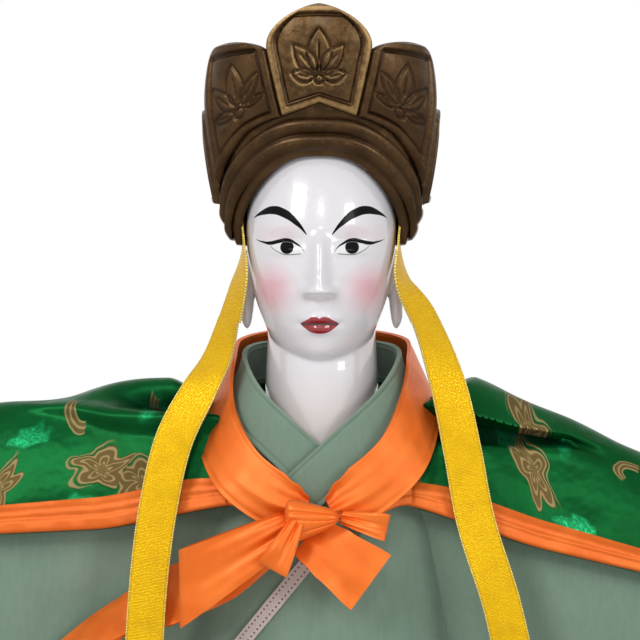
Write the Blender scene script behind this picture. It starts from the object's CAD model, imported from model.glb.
# A cloth glove puppet of a robed monk, dressed for a studio picture.
# Places are in millimetres, the puppet faces -Y and +Z is up; meshes are made in metres.
import math

import bpy
import numpy as np
from mathutils import Matrix


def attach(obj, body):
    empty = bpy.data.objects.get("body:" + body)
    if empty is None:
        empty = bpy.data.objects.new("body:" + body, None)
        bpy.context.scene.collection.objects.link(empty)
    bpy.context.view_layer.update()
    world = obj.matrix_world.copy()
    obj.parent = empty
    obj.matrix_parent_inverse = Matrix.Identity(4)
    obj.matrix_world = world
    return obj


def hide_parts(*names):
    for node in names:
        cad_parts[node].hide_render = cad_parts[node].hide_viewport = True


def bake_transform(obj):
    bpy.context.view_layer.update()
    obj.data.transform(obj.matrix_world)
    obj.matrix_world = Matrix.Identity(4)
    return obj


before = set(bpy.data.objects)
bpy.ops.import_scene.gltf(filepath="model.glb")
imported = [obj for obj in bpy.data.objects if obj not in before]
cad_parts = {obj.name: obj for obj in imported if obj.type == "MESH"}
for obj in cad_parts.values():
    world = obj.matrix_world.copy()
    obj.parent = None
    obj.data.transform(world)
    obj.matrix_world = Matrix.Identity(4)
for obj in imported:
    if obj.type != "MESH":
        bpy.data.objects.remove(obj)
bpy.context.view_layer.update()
scene = bpy.context.scene


# Camera: level with the chest, just left of straight on, close enough to crop the arms and the robe.
# It stands back far enough to keep the face's proportions.
aim = np.array([0.0, -0.02, 0.234])
distance = 0.70
turn = math.radians(1.5)
camera = bpy.data.objects.new("camera", bpy.data.cameras.new("camera"))
scene.collection.objects.link(camera)
camera.data.lens = 131.2
camera.data.sensor_width = 36
camera.location = aim + distance * np.array([math.sin(turn), -math.cos(turn), 0])
camera.rotation_euler = (math.pi / 2, 0, turn)
scene.camera = camera
scene.view_settings.view_transform = "Standard"


# Light: a large soft box high on each side and a small one in front, in a white room.
# The room lights the puppet softly, and is plain white to the camera and in reflections.
def soft_box(name, place, aim_at, size, power):
    """An area light of size (width, height) in metres at place, looking at aim_at."""
    light = bpy.data.lights.new(name, "AREA")
    light.shape = "RECTANGLE"
    light.size, light.size_y = size
    light.energy = power
    lamp = bpy.data.objects.new(name, light)
    scene.collection.objects.link(lamp)
    lamp.location = place
    away = np.array(place) - np.array(aim_at)
    flat = math.hypot(away[0], away[1])
    lamp.rotation_euler = (math.atan2(flat, away[2]), 0, math.atan2(away[0], -away[1]))


soft_box("key_light", (-0.75, -1.15, 0.95), (0, 0, 0.22), (0.5, 0.5), 8.6)
soft_box("fill_light", (0.95, -1.05, 0.6), (0, 0, 0.22), (0.35, 0.55), 4.5)
soft_box("front_light", (0.0, -1.35, 0.85), (0, 0, 0.24), (0.12, 0.12), 1.6)

world = bpy.data.worlds.new("white_room")
scene.world = world
world.use_nodes = True
sky = world.node_tree
background = sky.nodes["Background"]
rays = sky.nodes.new("ShaderNodeLightPath")
level = sky.nodes.new("ShaderNodeMapRange")
level.inputs["To Min"].default_value = 0.4
level.inputs["To Max"].default_value = 1.0
seen = rays.outputs["Is Camera Ray"]
for kind in ("Is Glossy Ray", "Is Transmission Ray"):
    either = sky.nodes.new("ShaderNodeMath")
    either.operation = "MAXIMUM"
    sky.links.new(seen, either.inputs[0])
    sky.links.new(rays.outputs[kind], either.inputs[1])
    seen = either.outputs[0]
sky.links.new(seen, level.inputs["Value"])
sky.links.new(level.outputs["Result"], background.inputs["Strength"])
background.inputs["Color"].default_value = (1, 1, 1, 1)


# Floor: a pale studio board that the puppet stands on, with a faint grain.
# It lies well below what the camera sees.
class Wire:
    """One output of a finish's nodes. Arithmetic on it adds the maths node of that kind."""

    def __init__(self, finish, socket):
        self.finish, self.socket = finish, socket

    def __add__(self, other):
        return self.finish.math("ADD", self, other)

    def __radd__(self, other):
        return self.finish.math("ADD", other, self)

    def __sub__(self, other):
        return self.finish.math("SUBTRACT", self, other)

    def __rsub__(self, other):
        return self.finish.math("SUBTRACT", other, self)

    def __mul__(self, other):
        return self.finish.math("MULTIPLY", self, other)

    def __truediv__(self, other):
        return self.finish.math("DIVIDE", self, other)

    def __pow__(self, other):
        return self.finish.math("POWER", self, other)

    def __abs__(self):
        return self.finish.math("ABSOLUTE", self)


class Finish:
    """A material's nodes. Each call adds one, sets or links its inputs in order, and gives its output."""

    def __init__(self, name, **values):
        self.material = bpy.data.materials.new(name)
        self.material.use_nodes = True
        self.tree = self.material.node_tree
        self.shader = self.tree.nodes["Principled BSDF"]
        for key, value in values.items():
            self.set(key.replace("_", " ").title(), value)

    def set(self, key, value):
        """Links an output to the shader's socket, or sets a plain value on it."""
        self.put(self.shader.inputs[key], value)

    def put(self, socket, value):
        """Links an output to a socket, or sets a plain value on it; a colour is three shares."""
        value = value.socket if isinstance(value, Wire) else value
        if isinstance(value, bpy.types.NodeSocket):
            self.tree.links.new(value, socket)
        elif isinstance(value, tuple) and len(value) == 3 and socket.type == "RGBA":
            socket.default_value = (*value, 1)
        else:
            socket.default_value = value

    def node(self, kind, *inputs, out=0, **settings):
        """One node of a kind, with its settings and its inputs in order."""
        node = self.tree.nodes.new("ShaderNode" + kind)
        for key, value in settings.items():
            setattr(node, key, value)
        for socket, value in zip(node.inputs, inputs):
            if value is not None:
                self.put(socket, value)
        return Wire(self, node.outputs[out])

    def math(self, operation, *inputs):
        """One maths node, such as SINE or MAXIMUM."""
        return self.node("Math", *inputs, operation=operation)

    def step(self, value, low, high, first=0.0, last=1.0):
        """first below low and last above high, with a smooth change between."""
        return self.node("MapRange", value, low, high, first, last, interpolation_type="SMOOTHSTEP")

    def mix(self, share, a, b):
        """Colour a where share is 0 and b where it is 1."""
        node = self.tree.nodes.new("ShaderNodeMix")
        node.data_type = "RGBA"
        for index, value in ((0, share), (6, a), (7, b)):
            self.put(node.inputs[index], value)
        return Wire(self, node.outputs[2])

    def place(self, scale=1000.0):
        """The place on the object, in millimetres unless scaled otherwise."""
        return self.stretched(self.node("TexCoord", out=3), scale, scale, scale)

    def cloth(self):
        """The place on the flat cloth, in millimetres, from the piece's own map."""
        return self.node("TexCoord", out=2)

    def stretched(self, vector, *shares):
        """A place with each of its three numbers multiplied by its share."""
        return self.node("VectorMath", vector, shares, operation="MULTIPLY")

    def split(self, vector):
        """The three numbers of a place or colour."""
        node = self.tree.nodes.new("ShaderNodeSeparateXYZ")
        self.put(node.inputs[0], vector)
        return [Wire(self, socket) for socket in node.outputs]

    def noise(self, vector, scale, detail=3.0, rough=0.5):
        """Cloudy noise from 0 to 1, with scale lumps in each unit of the place."""
        return self.node("TexNoise", vector, None, scale, detail, rough)

    def bump(self, *layers):
        """Adds bumps, each a height from 0 to 1 and what it stands for in millimetres."""
        normal = None
        for height, depth in layers:
            node = self.tree.nodes.new("ShaderNodeBump")
            node.inputs["Distance"].default_value = depth * 0.001
            self.put(node.inputs["Height"], height)
            if normal is not None:
                self.put(node.inputs["Normal"], normal)
            normal = node.outputs["Normal"]
        self.set("Normal", normal)


def build(name, points, faces, corner_places=None, rings=()):
    """A mesh object from points (n, 3) in mm, four-cornered faces (m, 4), and rings that close ends."""
    mesh = bpy.data.meshes.new(name)
    mesh.vertices.add(len(points))
    mesh.vertices.foreach_set("co", (np.asarray(points) * 0.001).astype(np.float32).ravel())
    corners = np.concatenate([faces.ravel(), *rings]).astype(np.int32)
    sizes = np.array([4] * len(faces) + [len(ring) for ring in rings])
    starts = np.concatenate([[0], np.cumsum(sizes)[:-1]]).astype(np.int32)
    mesh.loops.add(len(corners))
    mesh.loops.foreach_set("vertex_index", corners)
    mesh.polygons.add(len(sizes))
    mesh.polygons.foreach_set("loop_start", starts)
    mesh.update(calc_edges=True)
    if corner_places is not None:
        layer = mesh.uv_layers.new(name="cloth")
        flat = np.zeros((len(corners), 2), np.float32)
        flat[: len(corner_places)] = corner_places
        layer.data.foreach_set("uv", flat.ravel())
    mesh.validate()
    mesh.shade_smooth()
    mesh.set_sharp_from_angle(angle=math.radians(50))
    piece = bpy.data.objects.new(name, mesh)
    scene.collection.objects.link(piece)
    return piece


board = Finish("pale_board", roughness=0.9)
board_grain = board.noise(board.place(1.0), 180.0, 4.0)
board.set("Base Color", board.mix(board_grain, (0.90, 0.90, 0.90), (0.96, 0.96, 0.96)))
board.bump((board_grain, 0.05))
floor_half, floor_z = 2500, -95.3
floor_corners = [(x * floor_half, y * floor_half, floor_z) for x, y in ((-1, -1), (1, -1), (1, 1), (-1, 1))]
floor = build("floor", floor_corners, np.array([[0, 1, 2, 3]]))
floor.data.materials.append(board.material)


# Head: one piece of carved wood under white gloss lacquer, with the face painted in black, red and pink.
# The neck is hollow for the operator's forefinger and has a groove for the cord that ties the cloth on.
def smooth(x, low, high):
    """A smooth step, 3 t squared - 2 t cubed, where t runs from 0 at low to 1 at high."""
    t = np.clip((x - low) / (high - low), 0, 1)
    return t * t * (3 - 2 * t)


def bell(x, centre, width):
    """A bell curve, exp(-((x - centre) / width) squared)."""
    return np.exp(-(((x - centre) / width) ** 2))


def grid_faces(rows, columns, wrap=False, start=0, flip=False):
    """Corner numbers of the faces of a grid of points stored row by row from start."""
    index = start + np.arange(rows * columns).reshape(rows, columns)
    if wrap:
        index = np.hstack([index, index[:, :1]])
    corners = [index[:-1, :-1], index[:-1, 1:], index[1:, 1:], index[1:, :-1]]
    return np.stack(corners[::-1] if flip else corners, -1).reshape(-1, 4)


def circle(count, whole=2 * np.pi):
    """Evenly spaced numbers from 0 that stop one step short of the whole, as angles round a circle do."""
    return np.linspace(0, whole, count, endpoint=False)


def crossed(down, across):
    """Two grids: one with the numbers of down in its columns, one with the numbers of across in its rows."""
    return np.meshgrid(down, across, indexing="ij")


def solid(name, points, wrap_rows=False):
    """A closed body from rings of points (rows, columns, 3): its ends are closed, or its rows join up."""
    rows, columns, _ = points.shape
    faces = grid_faces(rows, columns, wrap=True)
    if wrap_rows:
        last = (rows - 1) * columns + np.arange(columns)
        first = np.arange(columns)
        ends = np.stack([last, np.roll(last, -1), np.roll(first, -1), first], -1)
        return build(name, points.reshape(-1, 3), np.vstack([faces, ends]))
    bottom = np.arange(columns)[::-1]
    top = (rows - 1) * columns + np.arange(columns)
    return build(name, points.reshape(-1, 3), faces, rings=(bottom, top))


def turned(name, outline):
    """A turned body from an outline of (radius, height) about the upright axis, from the bottom up."""
    outline = np.array(outline, float)
    phi = circle(96)
    radius, height = np.maximum(outline[:, 0], 0.02)[:, None], outline[:, 1][:, None]
    points = np.stack([radius * np.cos(phi), radius * np.sin(phi), height + 0 * phi], -1)
    return solid(name, points)


def join(name, *parts):
    """One object from several, which may lie in each other."""
    for part in parts:
        part.select_set(True)
    bpy.context.view_layer.objects.active = parts[0]
    with bpy.context.temp_override(active_object=parts[0], selected_editable_objects=list(parts)):
        bpy.ops.object.join()
    parts[0].name = name
    parts[0].data.name = name
    return parts[0]


def settled(piece, **modifiers):
    """Works the given modifiers into the piece's mesh."""
    for kind, settings in modifiers.items():
        modifier = piece.modifiers.new(kind, kind)
        for key, value in settings.items():
            setattr(modifier, key, value)
    bpy.context.view_layer.update()
    made = bpy.data.meshes.new_from_object(piece.evaluated_get(bpy.context.evaluated_depsgraph_get()))
    piece.modifiers.clear()
    piece.data = made
    made.shade_smooth()


def cut(piece, tool):
    """Takes the space that tool fills out of the piece, and deletes tool."""
    settled(piece, BOOLEAN={"operation": "DIFFERENCE", "solver": "MANIFOLD", "object": tool})
    bpy.data.objects.remove(tool)


def dress(piece, finish, body=None, nodes=()):
    """Gives a piece its finish, the CAD nodes it stands for, and the body it rides on."""
    piece.data.materials.clear()
    piece.data.materials.append(finish.material)
    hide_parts(*nodes)
    if body:
        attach(piece, body)


face_width, head_height, face_depth, skull_depth = 46, 76, 21.5, 27
chin_z, head_y, neck_foot_z, cord_z = 218.4, -6, 184, 189
neck_radius, finger_radius, finger_depth = 18, 9.5, 62
width_skew = 1.27
widest_share = 0.5 ** (1 / width_skew)
third = head_height * 0.85 / 3
brow_z, nose_z = chin_z + 2 * third, chin_z + third
eye_z, mouth_z, eye_x = brow_z - third * 0.28, nose_z - third / 3, face_width * 0.21


def head_rise(share, skew, fullness):
    """sin(pi share^skew)^fullness: 0 at both ends of the head, 1 at its widest."""
    return np.maximum(np.sin(np.pi * np.clip(share, 0, 1) ** skew), 1e-9) ** fullness


def head_oval(z):
    """Half width, depth to the front and depth to the back of the head at a height."""
    share = (z - chin_z) / head_height
    jaw = np.maximum(np.sin(np.pi / 2 * np.clip(share / widest_share, 0, 1)), 1e-9) ** 0.4
    half = face_width / 2 * np.where(share < widest_share, jaw, head_rise(share, width_skew, 0.5))
    return half, face_depth * head_rise(share, 0.95, 0.42), skull_depth * head_rise(share, 1.6, 0.5)


def head_reach(phi, z):
    """How far the head reaches from its middle line in the direction phi from the face."""
    half, front, back = head_oval(z)
    return 1 / np.hypot(np.sin(phi) / half, np.cos(phi) / np.where(np.cos(phi) > 0, front, back))


def face_relief(x, z):
    """How far the face stands forward of the oval: a sum of bells for nose, lids, cheeks, lips and chin."""

    def both(amount, x0, z0, wide, tall):
        """A bell on each side of the face, or one in the middle."""
        return amount * bell(np.abs(x), x0, wide) * bell(z, z0, tall)

    # The nose widens towards its tip and ends sharply under it.
    tip_z = nose_z + 2.2
    along = np.clip((brow_z - z) / (brow_z - tip_z), 0, 1)
    under = np.where(z < tip_z, bell(z, tip_z, 1.5), 1)
    bridge = (1.6 * smooth(along, 0, 0.3) + 4.2 * along**1.4) * under
    ridge = bridge * bell(x, 0, 2 + 1.2 * along)
    wings = both(2.2, 3.3, tip_z + 0.2, 1.7, 1.9) - both(0.5, 3.4, tip_z + 2.6, 1.1, 1.6)
    nostrils = both(0.9, 2, tip_z - 1.8, 1.1, 0.7)
    sockets = both(1.5, eye_x, eye_z + 2.6, 5.2, 2.6)
    lids = both(0.9, eye_x, eye_z - 0.2, 4.4, 2.1)
    lid_folds = both(0.35, eye_x, eye_z + 2.3, 4.6, 0.6) + both(0.25, eye_x, eye_z - 2.6, 4, 0.8)
    cheeks = both(0.7, eye_x * 1.25, nose_z + 3, 7, 6)
    muzzle = both(1.3, 0, mouth_z, 6.5, 4.6)
    lips = both(0.8, 0, mouth_z + 1.5, 3.8, 1.1) + both(1, 0, mouth_z - 1.7, 3.2, 1.3)
    groove = both(0.5, 0, mouth_z + 4.3, 1, 1.7)
    corners = both(0.5, 5.9, mouth_z + 0.1, 0.9, 0.9)
    chin = both(1.9, 0, chin_z + 5.4, 6.5, 4.5)
    mouth_line = 0.9 * bell(z, mouth_z, 0.6) * bell(x, 0, 5.2)
    raised = ridge + wings + lids + cheeks + muzzle + lips + chin
    return raised - nostrils - sockets - lid_folds - groove - corners - mouth_line


def carved_ear(side):
    """An ear as a flattened ball with a rolled rim, a hollow shell and a long lobe."""
    rise, round_ = crossed(np.linspace(0.03, 0.97, 40), circle(64, 1))
    lift, theta = np.pi * (rise - 0.5), 2 * np.pi * round_
    deep = np.cos(lift) * np.cos(theta)
    out = np.cos(lift) * np.sin(theta)
    up = np.sin(lift)
    lobe = smooth(-up, 0.15, 0.75)
    y = head_y + 6 - 1.4 * lobe + deep * (5.2 - 1.3 * lobe)
    z = nose_z + 6.5 + up * np.where(up > 0, 9.3, 15.2)
    hollow = 1.7 * bell(deep, -0.15, 0.42) * bell(up, 0.12, 0.5)
    rim = 0.5 * bell(np.hypot(deep, up), 0.8, 0.14)
    x = face_width / 2 + np.where(out > 0, out * 2.6 - hollow * out + rim * out, out * 2.6)
    points = np.stack([side * x, y, z], -1)
    return solid("ear", points if side < 0 else points[:, ::-1])


lift, around = crossed(np.linspace(0, 1, 230), np.linspace(-1, 1, 260, endpoint=False))
head_phi = np.pi * (0.5 * around + 0.5 * around**3)
head_z = chin_z + head_height * (0.002 + 0.996 * (1 - np.cos(np.pi * lift**1.15)) / 2)
half, front, back = head_oval(head_z)
facing = np.cos(head_phi)
head_x = half * np.sin(head_phi)
head_front = head_y - facing * np.where(facing > 0, front, back)
head_front = head_front - face_relief(head_x, head_z) * smooth(facing, 0.05, 0.5)
head_points = np.stack([head_x, head_front, head_z], -1)
skull = solid("skull", head_points)
neck = turned(
    "neck",
    [
        (0.02, neck_foot_z),
        (neck_radius - 0.4, neck_foot_z),
        (neck_radius + 0.3, neck_foot_z + 0.7),
        (neck_radius + 0.3, cord_z - 2.5),
        (neck_radius - 2.5, cord_z - 2.5),
        (neck_radius - 2.5, cord_z + 2.5),
        (neck_radius, cord_z + 2.5),
        (neck_radius - 0.5, chin_z - 8),
        (neck_radius - 0.7, chin_z),
        (neck_radius - 2, chin_z + 0.3 * head_height),
        (0.02, chin_z + 0.3 * head_height),
    ],
)
head = join("head_carved", skull, neck, carved_ear(1), carved_ear(-1))
settled(head, REMESH={"mode": "VOXEL", "voxel_size": 0.0005}, SMOOTH={"factor": 0.5, "iterations": 4})
bore_top = neck_foot_z + finger_depth
bore = turned(
    "bore",
    [
        (finger_radius + 0.8, neck_foot_z - 1),
        (finger_radius, neck_foot_z + 4),
        (finger_radius, bore_top - 5),
        (finger_radius * 0.7, bore_top - 1),
        (0.02, bore_top),
    ],
)
cut(head, bore)

paint = Finish("white_lacquer", roughness=0.2, coat_weight=1.0, coat_roughness=0.03)
spot = paint.place()
across, deep, high = paint.split(spot)
aside = abs(across)


def curve(value, *points):
    """A smooth line through (value, result) points, flat beyond its ends."""
    finish = value.finish
    low, high = points[0][0], points[-1][0]
    bottom = min(p[1] for p in points)
    top = max(p[1] for p in points)
    share = finish.node("MapRange", value, low, high, 0.0, 1.0)
    node = finish.tree.nodes.new("ShaderNodeFloatCurve")
    line = node.mapping.curves[0]
    places = [((x - low) / (high - low), (y - bottom) / (top - bottom)) for x, y in points]
    line.points[0].location, line.points[1].location = places[0], places[-1]
    for spot_ in places[1:-1]:
        line.points.new(*spot_)
    node.mapping.update()
    finish.put(node.inputs["Value"], share)
    return finish.node("MapRange", node.outputs[0], 0.0, 1.0, bottom, top)


def between(value, low, high, edge=0.1):
    """1 between low and high, which may be outputs, with edges that soft in mm."""
    above = value.finish.step(value - low, -edge, edge)
    below = value.finish.step(high - value, -edge, edge)
    return above * below


def hypot(x, y):
    """The square root of x squared + y squared."""
    return x.finish.math("SQRT", x**2.0 + y**2.0)


# The lacquer is ivory, warmer down the neck, with pink cheeks and lids.
fog = paint.noise(spot, 0.05, 2.0)
neckward = paint.step(high, chin_z + 6, chin_z - 16)
ivory = paint.mix(fog * 0.6, (0.8, 0.775, 0.8), (0.74, 0.72, 0.765))
ivory = paint.mix(neckward * 0.75, ivory, (0.8, 0.7, 0.67))
frontwards = paint.step(deep, -7.0, -9.0)
cheek = hypot(aside - 15.0, high - (nose_z + 3.2))
blush = paint.step(cheek, 10.5, 0.5, 0.0, 0.62) * frontwards
skin = paint.mix(blush, ivory, (0.84, 0.30, 0.36))
lid_glow = between(high, eye_z + 1.5, eye_z + 6.5, 2.2)
lid_glow = lid_glow * between(aside, 7.0, 19.0, 3.0) * 0.16
skin = paint.mix(lid_glow * frontwards, skin, (0.82, 0.34, 0.38))

# Brows, lid lines and irises are drawn in black ink between curves of (distance aside, height).
brow_mid = curve(aside, (3.8, 259.4), (7, 263.2), (10.5, 265.8), (14, 266.9), (17, 266.4), (20, 264.9))
brow_half = curve(aside, (3.8, 0.25), (6, 0.85), (10, 1.4), (14, 1.25), (18, 0.6), (20, 0.08))
brow_off = abs(high - brow_mid)
brow_paint = paint.step(brow_half - brow_off, -0.1, 0.1) * between(aside, 3.8, 20.0)
upper = curve(
    aside, (4.4, 253.9), (7, 256.4), (9.8, 257.3), (12.4, 256.9), (14.8, 256.5), (17, 257.1), (19.4, 258.3)
)
upper_thick = curve(aside, (4.4, 0.15), (7, 0.75), (10, 1.15), (13.5, 1.2), (16.5, 0.7), (19.4, 0.1))
lower = curve(aside, (4.4, 253.9), (7, 253.7), (9.8, 253.6), (12.4, 254.5), (14.8, 256.4))
upper_line = between(high, upper, upper + upper_thick) * between(aside, 4.4, 19.4)
opening = between(high, lower, upper) * between(aside, 4.6, 14.8)
lower_line = between(high, lower - 0.3, lower, 0.08) * between(aside, 5.5, 14.8)
iris = paint.step(hypot(aside - 9.7, high - 255.7), 2.15, 1.95) * opening
face = paint.mix(opening * frontwards, skin, (0.84, 0.84, 0.85))
ink = paint.math("MAXIMUM", paint.math("MAXIMUM", brow_paint, upper_line), iris)
ink = paint.math("MAXIMUM", ink, lower_line * 0.75)
ink = ink * frontwards
face = paint.mix(ink, face, (0.002, 0.002, 0.003))
paint.set("Coat Weight", 1.0 - ink * 0.95)
paint.set("Specular IOR Level", 0.5 - ink * 0.42)

# The lips are red, with a darker line where they meet.
lip_top = curve(aside, (0, mouth_z + 1.6), (1.6, mouth_z + 2.2), (3.6, mouth_z + 1.4), (5.8, mouth_z + 0.2))
lip_low = curve(aside, (0, mouth_z - 2.9), (2.4, mouth_z - 2.5), (4.4, mouth_z - 1.2), (5.8, mouth_z + 0.1))
lips = between(high, lip_low, lip_top) * between(aside, -1.0, 5.8)
lip_line = paint.step(abs(high - mouth_z), 0.65, 0.1)
red = paint.mix(lip_line, (0.33, 0.008, 0.016), (0.06, 0.002, 0.004))
face = paint.mix(lips * frontwards, face, red)
paint.set("Base Color", face)
swirl = paint.noise(spot, 0.11, 2.0)
speck = paint.noise(spot, 1.6, 2.0)
paint.set("Roughness", paint.step(speck, 0.3, 0.7, 0.16, 0.26))
paint.bump((swirl, 0.3), (speck, 0.008))
dress(head, paint, "head", ["head"])


# Crown: moulded resin under bronze paint, rubbed to gold on its raised lines.
# A bowl holds the head, two rolls make its brim, and five leaf panels and a cap are glued on it.
crown_wall, crown_flare, crown_curl, crown_lip, roll_height = 1.4, 10, 4.5, 1.5, 9.5
petal_thick, petal_gap, gap, leaf_reach = 1.6, 1.2, 0.35, 31
crown_side_z = chin_z + head_height * 0.508
crown_arch = head_height * 0.342
temple_sine = math.sin(math.radians(80))


def brim_z(phi):
    """Height of the crown's lower edge: an arch over the face, level behind the temples."""
    across = np.minimum(1, np.abs(np.sin(phi)) / temple_sine)
    return crown_side_z + np.where(np.cos(phi) > 0, crown_arch * np.sqrt(1 - across**3.4), 0)


def wall_top_z(phi):
    """Height of the bowl's upper edge, highest in front."""
    return crown_side_z + head_height * (0.36 + 0.32 * (0.5 + 0.5 * np.cos(phi)))


def crown_point(phi, rise, out):
    """A point of the crown: direction from the face, height above its lower edge, distance out of its inside.

    The wall flares as 1 - exp(-rise / 22), and curls back in by the square of what is above 30 mm."""
    snug = head_reach(phi, brim_z(phi)) + 0.6 + 1.1 * np.abs(np.sin(phi))
    curl = crown_curl * (np.maximum(0, rise - 30) / 25) ** 2
    reach = snug + crown_flare * (1 - np.exp(-rise / 22)) - curl + out
    return np.stack([reach * np.sin(phi), head_y - reach * np.cos(phi), brim_z(phi) + rise], -1)


def normals(points, wrap=False):
    """Unit normals of a grid of points, pointing along its columns' direction crossed with its rows'."""
    if wrap:
        wide = np.roll(points, -1, 1) - np.roll(points, 1, 1)
    else:
        wide = np.gradient(points, axis=1)
    normal = np.cross(wide, np.gradient(points, axis=0))
    return normal / np.maximum(np.linalg.norm(normal, axis=-1, keepdims=True), 1e-9)


def arc_places(points, wrap=False):
    """How far each point lies along its row and its column, in mm: the cloth's own map."""
    closed = np.concatenate([points, points[:, :1]], 1) if wrap else points
    wide = np.linalg.norm(np.diff(closed, axis=1), axis=-1).mean(0)
    long = np.linalg.norm(np.diff(closed, axis=0), axis=-1).mean(1)
    u = np.concatenate([[0], np.cumsum(wide)])
    v = np.concatenate([[0], np.cumsum(long)])
    return np.stack(np.meshgrid(u, v), -1)


def shell(name, outer, inner, wrap=False, places=None):
    """A closed skin from an outer and an inner grid of the same size, joined round their edges."""
    rows, columns, _ = outer.shape
    places = arc_places(outer, wrap) if places is None else places
    count = rows * columns
    faces = [grid_faces(rows, columns, wrap), grid_faces(rows, columns, wrap, count, flip=True)]
    index = np.arange(count).reshape(rows, columns)
    map_index = np.arange(places.shape[0] * places.shape[1]).reshape(places.shape[:2])
    maps = [grid_faces(rows, places.shape[1]), grid_faces(rows, places.shape[1], flip=True)]
    edges = [(index[0], map_index[0], True), (index[-1], map_index[-1], False)]
    if not wrap:
        edges += [(index[:, 0], map_index[:, 0], False), (index[:, -1], map_index[:, -1], True)]
    for line, line_map, flip in edges:
        if wrap:
            line = np.append(line, line[0])
        for store, values, shift in ((faces, line, count), (maps, line_map, 0)):
            corners = [values[:-1], values[1:], values[1:] + shift, values[:-1] + shift]
            store.append(np.stack(corners[::-1] if flip else corners, -1))
    corner_places = places.reshape(-1, 2)[np.vstack(maps).ravel()]
    points = np.vstack([outer.reshape(-1, 3), inner.reshape(-1, 3)])
    return build(name, points, np.vstack(faces), corner_places)


def worn(piece, values):
    """Stores for each point how far it stands proud, from 0 to 1, for the paint to wear by."""
    layer = piece.data.attributes.new("proud", "FLOAT", "POINT")
    flat = np.zeros(len(piece.data.vertices), np.float32)
    flat[: values.size] = values.ravel()
    layer.data.foreach_set("value", flat)
    return piece


bronze = Finish("bronze_paint", metallic=0.75)
bronze_spot = bronze.place()
proud = bronze.node("Attribute", attribute_name="proud", out=2)
rub = bronze.noise(bronze_spot, 0.55, 5.0, 0.6)
soot = bronze.noise(bronze_spot, 0.11, 3.0)
dull = bronze.mix(bronze.step(soot, 0.35, 0.7), (0.052, 0.025, 0.008), (0.082, 0.042, 0.014))
hollow = bronze.step(proud, 0.02, 0.2, 0.55, 0.0)
dull = bronze.mix(hollow, dull, (0.028, 0.012, 0.004))
gold_share = bronze.step(proud + rub * 0.5, 0.72, 1.35)
bronze.set("Base Color", bronze.mix(gold_share, dull, (0.36, 0.22, 0.085)))
bronze.set("Roughness", bronze.step(rub, 0.3, 0.7, 0.30, 0.44))
bronze.set("Specular IOR Level", 0.2)
bronze.set("Coat Weight", 0.12)
bronze.set("Coat Roughness", 0.2)
bronze.bump((rub, 0.12), (bronze.noise(bronze_spot, 2.4, 3.0), 0.04), (soot, 0.5))


def leaf_panel(name, node, s, low, high, tip, crest, blunt, notch):
    """A wedge that closes in a round point, with a rolled rim and a lotus flower cut into its field.

    low and high are the angles it spans at its foot and its top, s is 1 or -1 for the puppet's side, tip is
    its height above the chin, crest and blunt shape the point, and notch arches the middle of its foot."""
    share, a = crossed(np.linspace(0, 1, 136), np.linspace(-1, 1, 105))
    climb = np.where(share < 0.5, 1.3 * share, 1 - 1.4 * (1 - share) ** 2)
    wide = np.sin(np.pi / 2 * np.clip((1 - climb) / crest, 0.004, 1) ** 0.9) ** blunt
    first = low[0] + (high[0] - low[0]) * climb
    last = low[1] + (high[1] - low[1]) * climb
    spread = np.radians(last - first) / 2
    phi = np.radians(s * (first + last) / 2) + spread * wide * a
    foot = crown_lip + roll_height + petal_gap + notch * (1 - np.abs(a)) ** 1.5
    rise = foot + (chin_z + tip - brim_z(phi) - foot) * climb
    tall = chin_z + tip - brim_z(math.radians(low[0] + low[1]) / 2) - crown_lip - roll_height
    x, y = a * wide * spread * leaf_reach, climb * tall
    side = (1 - np.abs(a)) * wide * spread * leaf_reach
    inward = np.minimum(np.minimum(side, (tall - y) * 0.92), y + 0.4)
    rim = smooth(inward, -0.1, 0.9) * (1 - smooth(inward, 2.3, 3.1))
    line = bell(inward, 3.5, 0.42)

    def petal(x0, y0, long, fat, lean):
        """Groove along the outline of a pointed petal that grows from (x0, y0), and its vein."""
        along = (x - x0) * math.sin(lean) + (y - y0) * math.cos(lean)
        off = (x - x0) * math.cos(lean) - (y - y0) * math.sin(lean)
        t = np.clip(along / long, 0, 1)
        edge = fat * np.sin(np.pi * t**0.8) ** 0.8
        outline = bell(np.abs(off) - edge, 0, 0.5) * smooth(along, -0.8, 0.4)
        outline = outline * smooth(long + 0.8 - along, 0, 1)
        vein = 0.8 * bell(off, 0, 0.36) * smooth(t, 0.15, 0.3) * smooth(0.75 - t, 0, 0.15)
        return np.maximum(outline, vein)

    size = spread.max() * leaf_reach / 16
    low = 0.24 * tall
    grooves = [petal(0, low + 2.4, 0.44 * tall, 3.4 * size, 0)]
    grooves += [petal(s * 1.2, low + 2.0, 0.38 * tall, 2.3 * size, s * 0.62) for s in (-1, 1)]
    grooves += [petal(s * 1.8, low + 0.8, 0.25 * tall, 1.6 * size, s * 1.22) for s in (-1, 1)]
    grooves += [bell(np.hypot(x, y - low) - 1.5, 0, 0.45)]
    groove = np.maximum.reduce(grooves) * smooth(inward, 3.4, 4.8)
    bank = np.clip(np.gradient(groove, axis=0) * 4 + np.gradient(np.abs(groove), axis=1) * 3, 0, 1)
    relief = 0.7 * rim - 0.55 * line - 0.62 * groove + 0.2 * smooth(inward, 4, 8)
    bevel = 0.5 * (1 - smooth(inward, 0, 0.9))
    outer = crown_point(phi, rise, crown_wall + petal_gap + petal_thick * 0.62 + relief - bevel)
    inner = crown_point(phi, rise, crown_wall + petal_gap)
    high = 0.24 + 0.34 * (node == "crown_petal_front") + 0.30 * bell(inward, 1.5, 0.9)
    high = high - 0.5 * line - 0.5 * groove
    dress(worn(shell(name, outer, inner), np.clip(high + 0.35 * bank, 0, 1)), bronze, "head", [node])


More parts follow.
